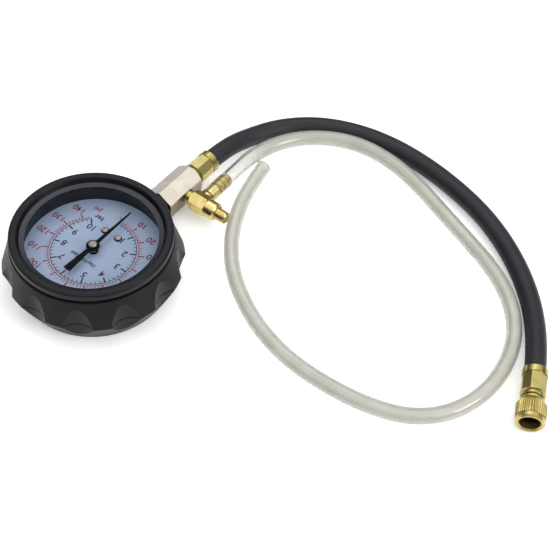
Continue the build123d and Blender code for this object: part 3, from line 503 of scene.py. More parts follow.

# Turned brass: a pale yellow with a sharp streak along each round. The button is a darker brass and
# the nut is dulled by its knurl; the dark brass of the nut's thread and the barb's ring edges is
# painted shade.
VALVE_BRASS = TurnedMetal("turned_valve_brass", "#dac684", tarnish="#cfba75", roughness=0.28)
BUTTON_BRASS = TurnedMetal("push_button_brass", "#c9b474", tarnish="#b39d5c", roughness=0.3)
# Dark brass for the nut's thread and the barb's ring edges: painted shade
SHADED_THREAD_BRASS = TurnedMetal("thread_brass_painted_shade", "#4d4023", tarnish="#33290f", roughness=0.45)
NUT_BRASS = TurnedMetal("knurled_nut_brass", "#c8b678", tarnish="#b3a05e", roughness=0.34)
MOVEMENT_BRASS = TurnedMetal("movement_brass", "#cfae68", tarnish="#a98444", roughness=0.28)

# Phosphor bronze: redder than the brass round it.
BRONZE = TurnedMetal("drawn_phosphor_bronze", "#b98a5a", tarnish="#96683f", roughness=0.3)

# Yellow chromate over zinc: greenish yellow that drifts to a faint pink.
CHROMATE = PlatedMetal("yellow_chromate_on_zinc", "#b3a668", drift="#a6a160", accent="#bba36e",
                       patch_mm=9.0, roughness=0.28)

# Nickel over steel: cool and bright on small parts, and grey on the cap and the screw heads.
PLATED_STEEL = PlatedMetal("nickel_plated_steel", "#c2c1bd", drift="#a9a8a4", accent="#d2d0c8",
                           patch_mm=3.0, roughness=0.16)
CAP_STEEL = PlatedMetal("dulled_cap_steel", "#82807b", drift="#75726e", accent="#8f8d87",
                        patch_mm=3.0, roughness=0.3)

# Paint and ink: plain enamel on the steel case, a smooth blue-black lacquer on the bezel, whose
# slope mirrors the light, a matt pointer, black rings of painted shadow round the dial's screw
# heads, a white dial painted blue-grey as painted shade and bluish light of its recess, and flat
# inks on it.
CASE_ENAMEL = Paint("black_case_enamel", "#0b0c0e", shade="#111316", roughness=0.35)
BEZEL_LACQUER = Paint("black_bezel_lacquer", "#1c1f26", shade="#23262d", roughness=0.22)
POINTER_PAINT = Paint("pointer_black", "#050506", roughness=0.5, peel_depth_mm=0.0006,
                      specular=0.1)
# Black rings round the dial's screw heads: painted shadow
SCREW_SHADOW_BLACK = Paint("painted_screw_shadow", "#15161a", roughness=0.4)
# The dial is white: its blue-grey colour is painted shade of its deep recess and painted bluish
# light
DIAL_PAINT = Paint("dial_white", "#9cadc9", shade="#a4b3cd", roughness=0.55, peel_depth_mm=0.001,
                   specular=0.3)
BAR_INK = Paint("bar_ink", Ink.BAR.value, roughness=0.5)
PSI_INK = Paint("psi_ink", Ink.PSI.value, roughness=0.5)

# Clear plastics: the cut acrylic window all but vanishes, the extruded vinyl tube is milky.
WINDOW = ClearPane("clear_acrylic", "#0a0c10")
VINYL = ClearVinyl("clear_soft_vinyl", "#cecdc6", smoke="#c7c6bc",
                   tight_at_mm=(BARB_X_MM, -90.0, STEM_Z_MM))

BUILT: dict[str, bpy.types.Material] = {}


# ---------------- modelling by hand


ROUND_SIDES = 64
EDGE_STEPS = 6
SMOOTH_ANGLE = math.radians(35)


def only(*objects: Thing) -> None:
    """Selects some objects and nothing else, and makes the last one active.

    Args:
        objects: the objects.
    """
    bpy.ops.object.select_all(action="DESELECT")
    for thing in objects:
        thing.select_set(True)
        bpy.context.view_layer.objects.active = thing


def settle(thing: Thing) -> Thing:
    """Puts a piece's place into its mesh, so that its object is at the origin.

    Args:
        thing: the piece.

    Returns:
        The same piece.
    """
    only(thing)
    bpy.ops.object.transform_apply(location=True, rotation=True, scale=True)
    return thing


def copied(piece: Thing, shift_mm: Point = (0.0, 0.0, 0.0)) -> Thing:
    """Copies a piece, with a mesh of its own.

    Args:
        piece: the piece.
        shift_mm: how far off the copy stands.

    Returns:
        The copy.
    """
    twin = piece.copy()
    twin.data = piece.data.copy()
    twin.location = [v * MM for v in shift_mm]
    bpy.context.collection.objects.link(twin)
    return twin


def joined(pieces: list[Thing], name: str) -> Thing:
    """Joins pieces into one.

    Args:
        pieces: objects to join.
        name: name of the result.

    Returns:
        The joined piece.
    """
    for piece in pieces:
        settle(piece)
    only(*pieces)
    if len(pieces) > 1:
        bpy.ops.object.join()
    result = bpy.context.view_layer.objects.active
    result.name = name
    result.data.name = name
    return result


def face_outwards() -> None:
    """Turns all faces of the active piece, which is in edit mode, to point outwards."""
    bpy.ops.mesh.select_all(action="SELECT")
    bpy.ops.mesh.normals_make_consistent(inside=False)


def turned(name: str, radius_mm: float, span_mm: Span, round_mm: float, hole_mm: float = 0.0,
           centre_mm: Span = (0.0, 0.0)) -> Thing:
    """Turns one round piece about an upright axis.

    Args:
        name: the piece's name.
        radius_mm: outer radius.
        span_mm: lowest and highest z.
        round_mm: rounding of its edges.
        hole_mm: radius of its hole, or 0.
        centre_mm: x and y of its axis.

    Returns:
        The piece.
    """
    low, high = (v * MM for v in span_mm)
    x, y = (v * MM for v in centre_mm)
    bpy.ops.mesh.primitive_circle_add(vertices=ROUND_SIDES, radius=radius_mm * MM,
                                      fill_type="NGON", location=(x, y, low))
    piece = bpy.context.object
    piece.name = name
    settle(piece)
    bpy.ops.object.mode_set(mode="EDIT")
    bpy.ops.mesh.select_all(action="SELECT")
    if hole_mm:
        bpy.ops.mesh.inset(thickness=(radius_mm - hole_mm) * MM, depth=0)
        bpy.ops.mesh.delete(type="FACE")
        bpy.ops.mesh.select_all(action="SELECT")
    bpy.ops.mesh.extrude_region_move(TRANSFORM_OT_translate={"value": (0, 0, high - low)})
    face_outwards()
    bpy.ops.object.mode_set(mode="OBJECT")
    edge = piece.modifiers.new("edge", "BEVEL")
    edge.width = round_mm * MM
    edge.segments = EDGE_STEPS
    edge.limit_method = "ANGLE"
    bpy.ops.object.modifier_apply(modifier=edge.name)
    bpy.ops.object.shade_smooth_by_angle(angle=SMOOTH_ANGLE)
    return piece


def material_of(finish: Finish) -> bpy.types.Material:
    """Finds a finish's material, which is built once.

    Args:
        finish: the finish.

    Returns:
        Its material.
    """
    if finish.name not in BUILT:
        BUILT[finish.name] = finish.build()
    return BUILT[finish.name]


def dress(piece: Thing, finish: Finish, body: Body) -> None:
    """Gives a new piece its material and body.

    Args:
        piece: the new piece.
        finish: its finish.
        body: the body that it rides on.
    """
    piece.data.materials.clear()
    piece.data.materials.append(material_of(finish))
    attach(piece, body.value)
    log.info("%s: %s", piece.name, finish.name)


def repaint(finish: Finish, *nodes: str) -> None:
    """Gives CAD nodes a finish.

    Args:
        finish: the finish.
        nodes: names of the nodes.
    """
    for node in nodes:
        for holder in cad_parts[node].material_slots:
            holder.material = material_of(finish)
        log.info("%s: %s", node, finish.name)


# ---------------- dial


@dataclass(frozen=True)
class Word:
    """A word or number printed on the dial, by its centre, type height and extra stroke."""

    text: str
    x_mm: float
    y_mm: float
    size_mm: float
    heavier_mm: float = 0.06


@dataclass(frozen=True)
class Scale:
    """One printed scale: an arc, ticks that stand on it, numbers and words."""

    name: str
    ink: Finish
    per_bar: float
    ticks: int
    ticks_per_unit: float
    arc_mm: float
    major_mm: float
    minor_mm: float
    major_width_mm: float
    minor_width_mm: float
    numbers: range
    number_mm: float
    number_size_mm: float
    words: tuple[Word, ...]
    ticks_per_major: int = 5


BAR_SCALE = Scale(
    "bar_scale", BAR_INK, per_bar=1.0, ticks=51, ticks_per_unit=5, arc_mm=26.3, major_mm=22.4,
    minor_mm=24.6, major_width_mm=0.95, minor_width_mm=0.42, numbers=range(1, 11),
    number_mm=19.3, number_size_mm=6.3,
    words=(Word("bar", 15.3, -22.3, 5.0), Word("1bar=14.5psi", 0.3, 8.9, 3.8, 0.05)))
PSI_SCALE = Scale(
    "psi_scale", PSI_INK, per_bar=14.5038, ticks=71, ticks_per_unit=0.5, arc_mm=27.6,
    major_mm=31.4, minor_mm=29.4, major_width_mm=0.9, minor_width_mm=0.4,
    numbers=range(10, 141, 10), number_mm=35.9, number_size_mm=6.0,
    words=(Word("psi", 20.7, -27.0, 4.9),))


@dataclass
class DialPrint:
    """The dial's two scales, printed on the plate as thin films of ink."""

    scales: tuple[Scale, ...] = (BAR_SCALE, PSI_SCALE)
    zero_degrees: float = -84.2
    step_degrees: float = 32.1
    full_bar: float = 10.0
    line_mm: float = 0.44
    arc_steps: int = 180
    type_steps: int = 4
    film_mm: float = 0.06
    lift_mm: float = 0.005

    def angle(self, bar: float) -> float:
        """Returns the part's angle at a pressure in bar."""
        return math.radians(self.zero_degrees - self.step_degrees * bar)

    def strip(self, start_mm: float, end_mm: float, width_mm: float) -> Thing:
        """Makes one flat strip along X.

        Args:
            start_mm: radius where it starts.
            end_mm: radius where it ends.
            width_mm: its width.

        Returns:
            The strip.
        """
        middle = (start_mm + end_mm) / 2 * MM
        bpy.ops.mesh.primitive_plane_add(size=1, location=(middle, 0, DIAL_Z_MM * MM))
        strip = bpy.context.object
        strip.scale = (abs(end_mm - start_mm) * MM, width_mm * MM, 1)
        return settle(strip)

    def arc(self, radius_mm: float) -> Thing:
        """Makes one scale's arc by spinning one edge of a small strip.

        Args:
            radius_mm: middle radius.

        Returns:
            The arc.
        """
        half = self.line_mm / 2
        strip = self.strip(radius_mm - half, radius_mm + half, self.line_mm)
        bpy.ops.object.mode_set(mode="EDIT")
        bpy.ops.mesh.select_all(action="SELECT")
        bpy.ops.mesh.delete(type="ONLY_FACE")
        bpy.ops.object.mode_set(mode="OBJECT")
        mesh = strip.data
        for vertex in mesh.vertices:
            vertex.select = vertex.co.y > 0
        for edge in mesh.edges:
            edge.select = all(mesh.vertices[i].co.y > 0 for i in edge.vertices)
        bpy.ops.object.mode_set(mode="EDIT")
        bpy.ops.mesh.select_all(action="INVERT")
        bpy.ops.mesh.delete(type="VERT")
        bpy.ops.mesh.select_all(action="SELECT")
        sweep = math.radians(self.step_degrees * self.full_bar)
        bpy.ops.mesh.spin(steps=self.arc_steps, angle=sweep, center=(0, 0, DIAL_Z_MM * MM),
                          axis=(0, 0, 1))
        bpy.ops.object.mode_set(mode="OBJECT")
        strip.rotation_euler.z = self.angle(0)
        return settle(strip)

    def ticks(self, scale: Scale) -> list[Thing]:
        """Makes a scale's ticks from one major and one minor tick.

        Args:
            scale: the scale.

        Returns:
            The ticks.
        """
        major = self.strip(scale.arc_mm, scale.major_mm, scale.major_width_mm)
        minor = self.strip(scale.arc_mm, scale.minor_mm, scale.minor_width_mm)
        marks = []
        for step in range(scale.ticks):
            mark = copied(minor if step % scale.ticks_per_major else major)
            mark.rotation_euler.z = self.angle(step / scale.ticks_per_unit / scale.per_bar)
            marks.append(mark)
        for pattern in (major, minor):
            bpy.data.objects.remove(pattern)
        return marks

    def written(self, word: Word) -> Thing:
        """Makes a word or number as a flat mesh.

        Args:
            word: the word.

        Returns:
            The flat mesh.
        """
        bpy.ops.object.text_add(location=(word.x_mm * MM, word.y_mm * MM, DIAL_Z_MM * MM))
        label = bpy.context.object
        label.data.body = word.text
        label.data.size = word.size_mm * MM
        label.data.align_x = "CENTER"
        label.data.align_y = "CENTER"
        label.data.offset = word.heavier_mm * MM
        label.data.resolution_u = self.type_steps
        only(label)
        bpy.ops.object.convert(target="MESH")
        return bpy.context.object

    def numbers(self, scale: Scale) -> list[Thing]:
        """Makes a scale's numbers, upright and in a ring.

        Args:
            scale: the scale.

        Returns:
            The numbers.
        """
        labels = []
        for number in scale.numbers:
            angle = self.angle(number / scale.per_bar)
            labels.append(self.written(Word(
                str(number), scale.number_mm * math.cos(angle), scale.number_mm * math.sin(angle),
                scale.number_size_mm)))
        return labels

    def lay(self, marks: list[Thing], scale: Scale) -> None:
        """Joins one ink's marks, gives them their film's thickness and lays them on the plate.

        Args:
            marks: the flat marks.
            scale: the scale that they make up.
        """
        film = joined(marks, scale.name)
        only(film)
        solid = film.modifiers.new("film", "SOLIDIFY")
        solid.thickness = self.film_mm * MM
        solid.offset = 1.0
        bpy.ops.object.modifier_apply(modifier=solid.name)
        bpy.ops.object.mode_set(mode="EDIT")
        face_outwards()
        bpy.ops.object.mode_set(mode="OBJECT")
        low = min(v.co.z for v in film.data.vertices)
        film.location.z = DIAL_Z_MM * MM - low + self.lift_mm * MM
        settle(film)
        dress(film, scale.ink, Body.GAUGE)

    def build(self) -> None:
        """Prints both scales."""
        for scale in self.scales:
            self.lay([self.arc(scale.arc_mm), *self.ticks(scale), *self.numbers(scale),
                      *map(self.written, scale.words)], scale)


# ---------------- cords


def line(name: str, route_mm: list[Point], steps: int, radius_mm: float = 0.0,
         round_steps: int = 0) -> Thing:
    """Draws one smooth open spline, bare or as a round rod.

    Args:
        name: the curve's name.
        route_mm: its control points.
        steps: how many pieces each of its spans has.
        radius_mm: radius of the rod, or 0.
        round_steps: how finely its section is rounded.

    Returns:
        The curve object.
    """
    data = bpy.data.curves.new(name, "CURVE")
    data.dimensions = "3D"
    data.resolution_u = steps
    data.bevel_depth = radius_mm * MM
    data.bevel_resolution = round_steps
    data.use_fill_caps = radius_mm > 0
    spline = data.splines.new("NURBS")
    spline.points.add(len(route_mm) - 1)
    for point, (x, y, z) in zip(spline.points, route_mm):
        point.co = (x * MM, y * MM, z * MM, 1.0)
    spline.order_u = 3
    spline.use_endpoint_u = True
    thing = bpy.data.objects.new(name, data)
    bpy.context.collection.objects.link(thing)
    return thing


@dataclass
class FreeCord:
    """A hose or tube that lies on the table, drawn through its route's points."""

    name: str
    node: str
    route_mm: list[Point]
    radius_mm: float
    length_mm: float
    far_end: str
    slot: Slot
    finish: Finish
    with_nodes: tuple[str, ...] = ()
    line_steps: int = 10
    round_steps: int = 10

    def build(self) -> None:
        """Builds the cord as a round bevelled curve."""
        self.declare(line(self.name, self.route_mm, self.line_steps, self.radius_mm,
                          self.round_steps))

    def declare(self, cord: Thing, path: list[Point] | None = None) -> None:
        """Dresses the cord and hides the frame's node that it stands for.

        Args:
            cord: the cord's curve or mesh.
            path: points that a mesh follows; not used.
        """
        dress(cord, self.finish, Body.GAUGE)
        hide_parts(self.node)


@dataclass
class HollowTube(FreeCord):
    """A clear tube with a real bore, which closes round the barb that it is pushed on."""

    round_steps: int = 8
    wall_mm: float = 1.6
    rim_share: float = 0.6
    barb_axis_mm: Span = (BARB_X_MM, STEM_Z_MM)
    barb_end_y_mm: float = -110.0
    smooth_degrees: float = 40.0

    def build(self) -> None:
        """Builds the tube as an outer and an inner wall."""
        middle = line(self.name, self.route_mm, self.line_steps)
        bpy.context.view_layer.update()
        path = [tuple(v.co) for v in bpy.data.meshes.new_from_object(middle).vertices]
        middle.data.bevel_depth = self.radius_mm * MM
        middle.data.bevel_resolution = self.round_steps
        only(middle)
        bpy.ops.object.convert(target="MESH")
        tube = bpy.context.object
        wall = tube.modifiers.new("wall", "SOLIDIFY")
        wall.thickness = self.wall_mm * MM
        wall.offset = -1.0
        bpy.ops.object.modifier_apply(modifier=wall.name)
        self.close_on_barb(tube)
        # A clear tube's shadow is too faint to see on a light table
        tube.visible_shadow = False
        only(tube)
        bpy.ops.object.shade_smooth_by_angle(angle=math.radians(self.smooth_degrees))
        self.declare(tube, path)

    def close_on_barb(self, tube: Thing) -> None:
        """Removes the bore's wall where the soft tube grips the barb and no air is left.

        Args:
            tube: the tube's mesh.
        """
        # Nearer to the axis than this lie only the bore's faces, and not those of the end's rim
        bore = (self.radius_mm - self.wall_mm * self.rim_share) * MM
        x, z = (v * MM for v in self.barb_axis_mm)
        for face in tube.data.polygons:
            place = face.center
            near = math.hypot(place.x - x, place.z - z) < bore
            face.select = near and place.y > self.barb_end_y_mm * MM
        only(tube)
        bpy.ops.object.mode_set(mode="EDIT")
        bpy.context.tool_settings.mesh_select_mode = (False, False, True)
        bpy.ops.mesh.delete(type="ONLY_FACE")
        bpy.ops.object.mode_set(mode="OBJECT")


def far_point(along_mm: float) -> Point:
    """Returns a point on the far fitting's axis, in millimetres from its ferrule's mouth."""
    x, y = FAR_MOUTH_MM
    return (x + FAR_WAY.x * along_mm, y + FAR_WAY.y * along_mm, NUT_R_MM)


# How far the hose goes into a ferrule, and how far it runs straight outside it
HOSE_GRIP_MM = 15.0
HOSE_LEAD_MM = 12.4

HOSE_ROUTE_MM = [
    (0, NEAR_MOUTH_Y_MM + HOSE_GRIP_MM, STEM_Z_MM), (0, NEAR_MOUTH_Y_MM - HOSE_LEAD_MM, STEM_Z_MM),
    (-4, -154, 8), (-15.4, -177.5, 6.5), (-35, -195.2, 6.5), (-60, -206, 6.5), (-86.5, -210, 6.5),
    (-113.5, -208.5, 6.5), (-140, -203.3, 6.5), (-166.4, -194.7, 6.5), (-191, -181.4, 6.5),
    (-213.4, -164.3, 6.5), (-233.2, -143.2, 7), far_point(-HOSE_LEAD_MM), far_point(HOSE_GRIP_MM),
]
TUBE_ROUTE_MM = [
    (BARB_X_MM, -88, STEM_Z_MM), (BARB_X_MM, -112, STEM_Z_MM), (-19, -137.3, 13.3),
    (-26.5, -162.8, 11.8), (-43.2, -183, 10.3), (-66, -194.7, 9.4), (-93, -196.1, 8.1),
    (-119.6, -189.8, 6.6), (-144.8, -180, 5.4), (-169.6, -170.2, 5), (-194, -159.7, 5),
    (-215.2, -145.2, 5), (-231, -125.6, 5), (-239.1, -101.2, 5), (-239.5, -74.2, 5),
    (-231, -49.6, 5), (-213.2, -31.7, 5), (-188.7, -23.2, 5), (-162.3, -20.2, 5), (-136, -20.9, 5),
    (-110.8, -27, 5), (-87.5, -38.2, 5), (-67, -53, 5), (-51, -71.5, 5), (-39, -93, 5),
    (-31, -115.6, 5), (-26.7, -139.2, 5),
]

HOSE = FreeCord("test_hose", "black_hose", HOSE_ROUTE_MM, radius_mm=6.5, length_mm=389.0,
                far_end="fitting", slot=Slot.HOSE, finish=HOSE_RUBBER,
                with_nodes=("ferrule_far", "swivel_tailpiece", "nut_washer", "core_depressor",
                            "swivel_nut"))
TUBE = HollowTube("clear_tube", "drain_tube", TUBE_ROUTE_MM, radius_mm=5.0, length_mm=666.0,
                  far_end="bare", slot=Slot.TUBE, finish=VINYL)


# ---------------- studio


@dataclass(frozen=True)
class SoftLight:
    """One soft square light: where it hangs, what it faces, its side and its watts."""

    name: str
    place: Point
    aim: Point
    size: float
    watts: float

    def build(self) -> None:
        """Hangs the light and turns it to its aim."""
        data = bpy.data.lights.new(self.name, "AREA")
        data.size = self.size
        data.energy = self.watts
        thing = bpy.data.objects.new(self.name, data)
        bpy.context.collection.objects.link(thing)
        turn = (Vector(self.aim) - Vector(self.place)).to_track_quat("-Z", "Y").to_matrix().to_4x4()
        thing.matrix_world = Matrix.Translation(self.place) @ turn


@dataclass
class Studio:
    """Camera, light table, surround and soft lights."""

    eye: Point = (-0.3514, 0.3296, 0.5908)
    pitch_degrees: float = 50.89
    heading_degrees: float = -56.6
    roll_degrees: float = 4.19
    lens_mm: float = 78.545
    sensor_mm: float = 36.0
    nearest: float = 0.01
    table_size: float = 30.0
    table_glow: float = 0.3
    table_roughness: float = 0.9
    table_specular: float = 0.1
    table_stops: tuple[tuple[float, str], ...] = ((0.6, "#f8f8f8"), (1.0, "#a8aaae"))
    sky_strength: float = 1.4
    sky_stops: tuple[tuple[float, str], ...] = (
        (0.0, "#1c1d20"), (0.36, "#3c3e42"), (0.6, "#cdd0d4"), (0.82, "#ffffff"))
    key: SoftLight = SoftLight("key", (-1.4, -0.2, 0.8), (-0.05, -0.05, 0), size=0.6, watts=9)
    streak: SoftLight = SoftLight("streak", (0.45, -0.7, 1.3), (-0.02, -0.08, 0), size=0.7,
                                  watts=2.2)

    def camera(self) -> None:
        """Places the camera at the photograph's viewing angle."""
        data = bpy.data.cameras.new("camera")
        data.lens = self.lens_mm
        data.sensor_width = self.sensor_mm
        data.sensor_fit = "HORIZONTAL"
        data.clip_start = self.nearest
        thing = bpy.data.objects.new("camera", data)
        bpy.context.collection.objects.link(thing)
        pitch, heading, roll = (math.radians(v) for v in (self.pitch_degrees, self.heading_degrees,
                                                          self.roll_degrees))
        forward = Vector((math.cos(pitch) * math.cos(heading), math.cos(pitch) * math.sin(heading),
                          -math.sin(pitch)))
        right = Vector((math.sin(heading), -math.cos(heading), 0))
        up = right.cross(forward)
        across = right * math.cos(roll) + up * math.sin(roll)
        rise = up * math.cos(roll) - right * math.sin(roll)
        axes = Matrix((across, rise, -forward)).transposed().to_4x4()
        thing.matrix_world = Matrix.Translation(self.eye) @ axes
        bpy.context.scene.camera = thing

    def table(self) -> None:
        """Lays a large pale light table under the part, dimmer away from it."""
        bpy.ops.mesh.primitive_grid_add(x_subdivisions=4, y_subdivisions=4, size=self.table_size,
                                        location=(0, 0, 0))
        floor = bpy.context.object
        floor.name = "floor"
        material = bpy.data.materials.new("pale_floor")
        material.use_nodes = True
        shader = material.node_tree.nodes["Principled BSDF"]
        nodes = Nodes(material.node_tree, shader)
        where = nodes.add("ShaderNodeTexCoord")
        away = nodes.add("ShaderNodeVectorMath", {"operation": "LENGTH"},
                         {0: where.outputs["Object"]})
        shade = nodes.add("ShaderNodeValToRGB", {"stops": self.table_stops},
                          {"Fac": away.outputs["Value"]})
        nodes.feed("Base Color", shade.outputs["Color"])
        nodes.feed("Emission Color", shade.outputs["Color"])
        shader.inputs["Emission Strength"].default_value = self.table_glow
        shader.inputs["Roughness"].default_value = self.table_roughness
        shader.inputs["Specular IOR Level"].default_value = self.table_specular
        floor.data.materials.append(material)

    def surround(self) -> None:
        """Sets a surround that is bright overhead and dim near the horizon."""
        world = bpy.data.worlds.new("surround")
        world.use_nodes = True
        glow = world.node_tree.nodes["Background"]
        nodes = Nodes(world.node_tree, glow)
        where = nodes.add("ShaderNodeTexCoord")
        way = nodes.add("ShaderNodeSeparateXYZ", links={"Vector": where.outputs["Generated"]})
        shade = nodes.add("ShaderNodeValToRGB", {"stops": self.sky_stops},
                          {"Fac": way.outputs["Z"]})
        nodes.feed("Color", shade.outputs["Color"])
        glow.inputs["Strength"].default_value = self.sky_strength
        bpy.context.scene.world = world

    def build(self) -> None:
        """Builds the studio."""
        self.camera()
        self.table()
        self.surround()
        self.key.build()
        self.streak.build()
        bpy.context.scene.view_settings.view_transform = "Standard"


# ---------------- gauge


@dataclass
class PointerBoss:
    """The pointer's turned boss: a black collar, a domed cap over it and a bright sleeve below."""

    collar_r_mm: float = 4.2
    collar_hole_mm: float = 2.2
    collar_z_mm: Span = (29.0, 30.5)
    collar_round_mm: float = 0.25
    cap_r_mm: float = 2.9
    cap_z_mm: Span = (30.3, 31.9)
    cap_round_mm: float = 0.75
    sleeve_r_mm: float = 2.6
    sleeve_hole_mm: float = 2.05
    sleeve_z_mm: Span = (26.5, 29.05)
    sleeve_round_mm: float = 0.15

    def build(self) -> None:
        """Builds the collar, the cap and the sleeve."""
        collar = turned("pointer_collar", self.collar_r_mm, self.collar_z_mm, self.collar_round_mm,
                        self.collar_hole_mm)
        dress(collar, POINTER_PAINT, Body.POINTER)
        cap = turned("cap_dome", self.cap_r_mm, self.cap_z_mm, self.cap_round_mm)
        dress(cap, CAP_STEEL, Body.POINTER)
        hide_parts("pointer_cap")
        sleeve = turned("pointer_sleeve", self.sleeve_r_mm, self.sleeve_z_mm, self.sleeve_round_mm,
                        self.sleeve_hole_mm)
        dress(sleeve, PLATED_STEEL, Body.POINTER)


@dataclass
class DialScrewHeads:
    """Two domed screw heads, each on a black ring of painted shadow, on either side below the
    pointer's arbor.
    """

    ring_mm: float = 17.5
    spread_degrees: float = 17.5
    head_r_mm: float = 2.15
    head_above_mm: Span = (0.2, 1.4)
    head_round_mm: float = 0.7
    # The black rings of painted shadow under the heads: radius, hole, height above the dial,
    # rounding
    washer_r_mm: float = 2.55
    washer_hole_mm: float = 1.2
    washer_above_mm: Span = (0.01, 0.26)
    washer_round_mm: float = 0.08

    def pair(self, name: str, radius_mm: float, above_mm: Span, round_mm: float,
             hole_mm: float = 0.0) -> Thing:
        """Turns one round piece and stands a copy of it at the other screw.

        Args:
            name: the pair's name.
            radius_mm: outer radius.
            above_mm: its lowest and highest point above the dial.
            round_mm: rounding of its edges.
            hole_mm: radius of its hole, or 0.

        Returns:
            The pair as one piece.
        """
        spread = math.radians(self.spread_degrees)
        x, y = -self.ring_mm * math.sin(spread), -self.ring_mm * math.cos(spread)
        low, high = (DIAL_Z_MM + v for v in above_mm)
        one = turned(name, radius_mm, (low, high), round_mm, hole_mm, (x, y))
        return joined([one, copied(one, (-2 * x, 0.0, 0.0))], name)

    def build(self) -> None:
        """Builds the heads and the black rings of painted shadow round them."""
        heads = self.pair("dial_screw_heads", self.head_r_mm, self.head_above_mm,
                          self.head_round_mm)
        dress(heads, CAP_STEEL, Body.GAUGE)
        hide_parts("dial_screws")
        # Black rings under the heads: painted shadow on the dial round each head
        shade_rings = self.pair("dial_screw_shadow_rings", self.washer_r_mm, self.washer_above_mm,
                            self.washer_round_mm, self.washer_hole_mm)
        dress(shade_rings, SCREW_SHADOW_BLACK, Body.GAUGE)


@dataclass(frozen=True)
class ThreadRidges:
    """The crests of a thread, seen from outside as a row of rings along its axis."""

    name: str
    finish: Finish
    body: Body
    slot: Slot
    root_mm: Point
    lean_degrees: Point
    radius_mm: float
    hole_mm: float
    starts_mm: tuple[float, ...]
    thick_mm: float
    round_mm: float

    def build(self) -> None:
        """Builds the rings and lays them along the thread's axis."""
        first = self.starts_mm[0]
        ring = turned(self.name, self.radius_mm, (first, first + self.thick_mm), self.round_mm,
                      self.hole_mm)
        others = [copied(ring, (0.0, 0.0, start - first)) for start in self.starts_mm[1:]]
        ridges = joined([*others, ring], self.name)
        ridges.rotation_euler = tuple(math.radians(v) for v in self.lean_degrees)
        ridges.location = tuple(v * MM for v in self.root_mm)
        settle(ridges)
        dress(ridges, self.finish, self.body)


@dataclass
class ButtonCoil:
    """The button's return spring, which shortens as the button goes in."""

    span_x_mm: Span = (-27.32, -37.68)
    coil_r_mm: float = 2.2
    wire_r_mm: float = 0.3
    wire_steps: int = 3
    turns: int = 6
    points_per_turn: int = 16
    line_steps: int = 2
    travel_mm: float = 2.5

    def build(self) -> None:
        """Winds the coil."""
        start, end = self.span_x_mm
        y, z = VALVE_Y_MM, STEM_Z_MM
        count = self.turns * self.points_per_turn
        route = []
        for step in range(count + 1):
            angle = 2 * math.pi * step / self.points_per_turn
            route.append((start + (end - start) * step / count,
                          y + self.coil_r_mm * math.cos(angle),
                          z - self.coil_r_mm * math.sin(angle)))
        only(line("button_coil", route, self.line_steps, self.wire_r_mm, self.wire_steps))
        bpy.ops.object.convert(target="MESH")
        coil = bpy.context.object
        dress(coil, PLATED_STEEL, Body.GAUGE)
        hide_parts("button_spring")
        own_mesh(coil)


@dataclass
class GaugeHead:
    """Boot, case, dial and movement."""

    dial: DialPrint
    boss: PointerBoss
    screws: DialScrewHeads

    def build(self) -> None:
        """Dresses the head's nodes, prints the dial and builds what stands on it."""
        repaint(BOOT_RUBBER, "rubber_boot")
        repaint(SEAL_RUBBER, "window_gasket")
        repaint(CASE_ENAMEL, "gauge_case")
        repaint(BEZEL_LACQUER, "bezel_ring")
        repaint(WINDOW, "window")
        repaint(DIAL_PAINT, "dial_plate")
        repaint(POINTER_PAINT, "pointer")
        repaint(PLATED_STEEL, "movement_screws", "case_screws", "link", "link_screw",
                "pinion_arbor")
        repaint(MOVEMENT_BRASS, "dial_posts", "socket_block", "tube_tip", "sector_gear",
                "hairspring_stud", "movement_back_plate", "movement_front_plate",
                "movement_pillars")
        repaint(BRONZE, "bourdon_tube", "hairspring")
        self.dial.build()
        self.boss.build()
        self.screws.build()


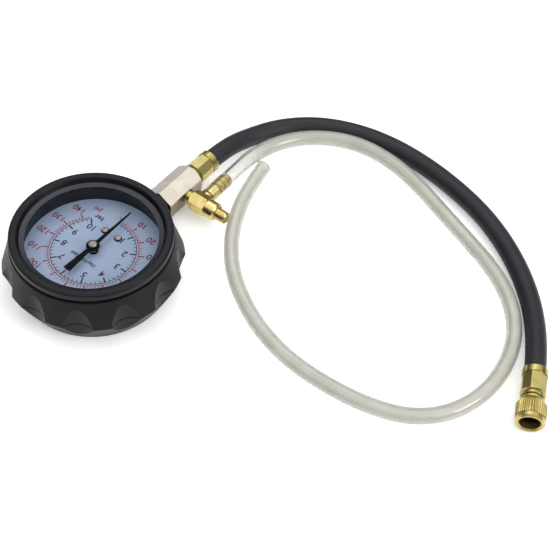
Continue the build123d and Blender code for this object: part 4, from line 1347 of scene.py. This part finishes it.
@dataclass
class ManifoldAndValve:
    """Hex manifold with its bleed valve."""

    coil: ButtonCoil
    neck_thread: ThreadRidges = ThreadRidges(
        "valve_neck_thread", VALVE_BRASS, Body.GAUGE, Slot.VALVE,
        root_mm=(VALVE_ROOT_X_MM, VALVE_Y_MM, STEM_Z_MM), lean_degrees=(0, -90, 0),
        radius_mm=4.75, hole_mm=4.2, starts_mm=(0.3, 1.6, 2.9), thick_mm=0.7, round_mm=0.22)
    # The barb's ring edges in dark brass: painted shade on the ring steps
    barb_edges: ThreadRidges = ThreadRidges(
        "barb_ring_edges", SHADED_THREAD_BRASS, Body.GAUGE, Slot.VALVE,
        root_mm=(BARB_X_MM, VALVE_Y_MM, STEM_Z_MM), lean_degrees=(90, 0, 0),
        radius_mm=3.28, hole_mm=2.7, starts_mm=(16.3, 20.5, 24.7), thick_mm=0.35, round_mm=0.06)

    def build(self) -> None:
        """Dresses the manifold and valve, and adds the spring, the thread and the barb's edges."""
        repaint(NICKEL, "hex_manifold")
        repaint(VALVE_BRASS, "valve_body", "valve_bonnet", "valve_stem")
        repaint(BUTTON_BRASS, "push_button")
        repaint(SEAL_RUBBER, "valve_seal")
        self.coil.build()
        self.neck_thread.build()
        self.barb_edges.build()


@dataclass
class HoseEnds:
    """Ferrules, nipples and the swivel nut with the thread in its mouth."""

    # The thread's crests in dark brass: painted shade of the nut's deep mouth
    mouth_thread: ThreadRidges = ThreadRidges(
        "nut_mouth_thread", SHADED_THREAD_BRASS, Body.NUT, Slot.NUT,
        root_mm=far_point(NUT_MOUTH_ALONG_MM), lean_degrees=(90, 0, FAR_DEGREES - 90),
        radius_mm=6.25, hole_mm=5.65, starts_mm=(1.3, 2.55, 3.8, 5.05), thick_mm=0.6,
        round_mm=0.18)
    # A dark sleeve lining the mouth behind the thread: a dark sheet of painted shade in the deep
    # bore
    mouth_root: ThreadRidges = replace(
        mouth_thread, name="nut_mouth_shade_sleeve", radius_mm=6.24, hole_mm=6.12, starts_mm=(0.95,),
        thick_mm=5.3, round_mm=0.02)

    def build(self) -> None:
        """Dresses the hose's metal ends and cuts the nut's thread."""
        repaint(CHROMATE, "ferrule_near", "ferrule_far", "hose_nipple")
        repaint(NUT_BRASS, "swivel_nut", "swivel_tailpiece", "core_depressor")
        repaint(SEAL_RUBBER, "nut_washer")
        self.mouth_thread.build()
        self.mouth_root.build()


def main() -> None:
    """Builds the studio and the part's sub-assemblies in order."""
    logging.basicConfig(level=logging.INFO, format="%(name)s: %(message)s")
    head = GaugeHead(DialPrint(), PointerBoss(), DialScrewHeads())
    for assembly in (Studio(), HOSE, TUBE, head, ManifoldAndValve(ButtonCoil()), HoseEnds()):
        assembly.build()
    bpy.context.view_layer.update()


if __name__ == "__main__":
    main()
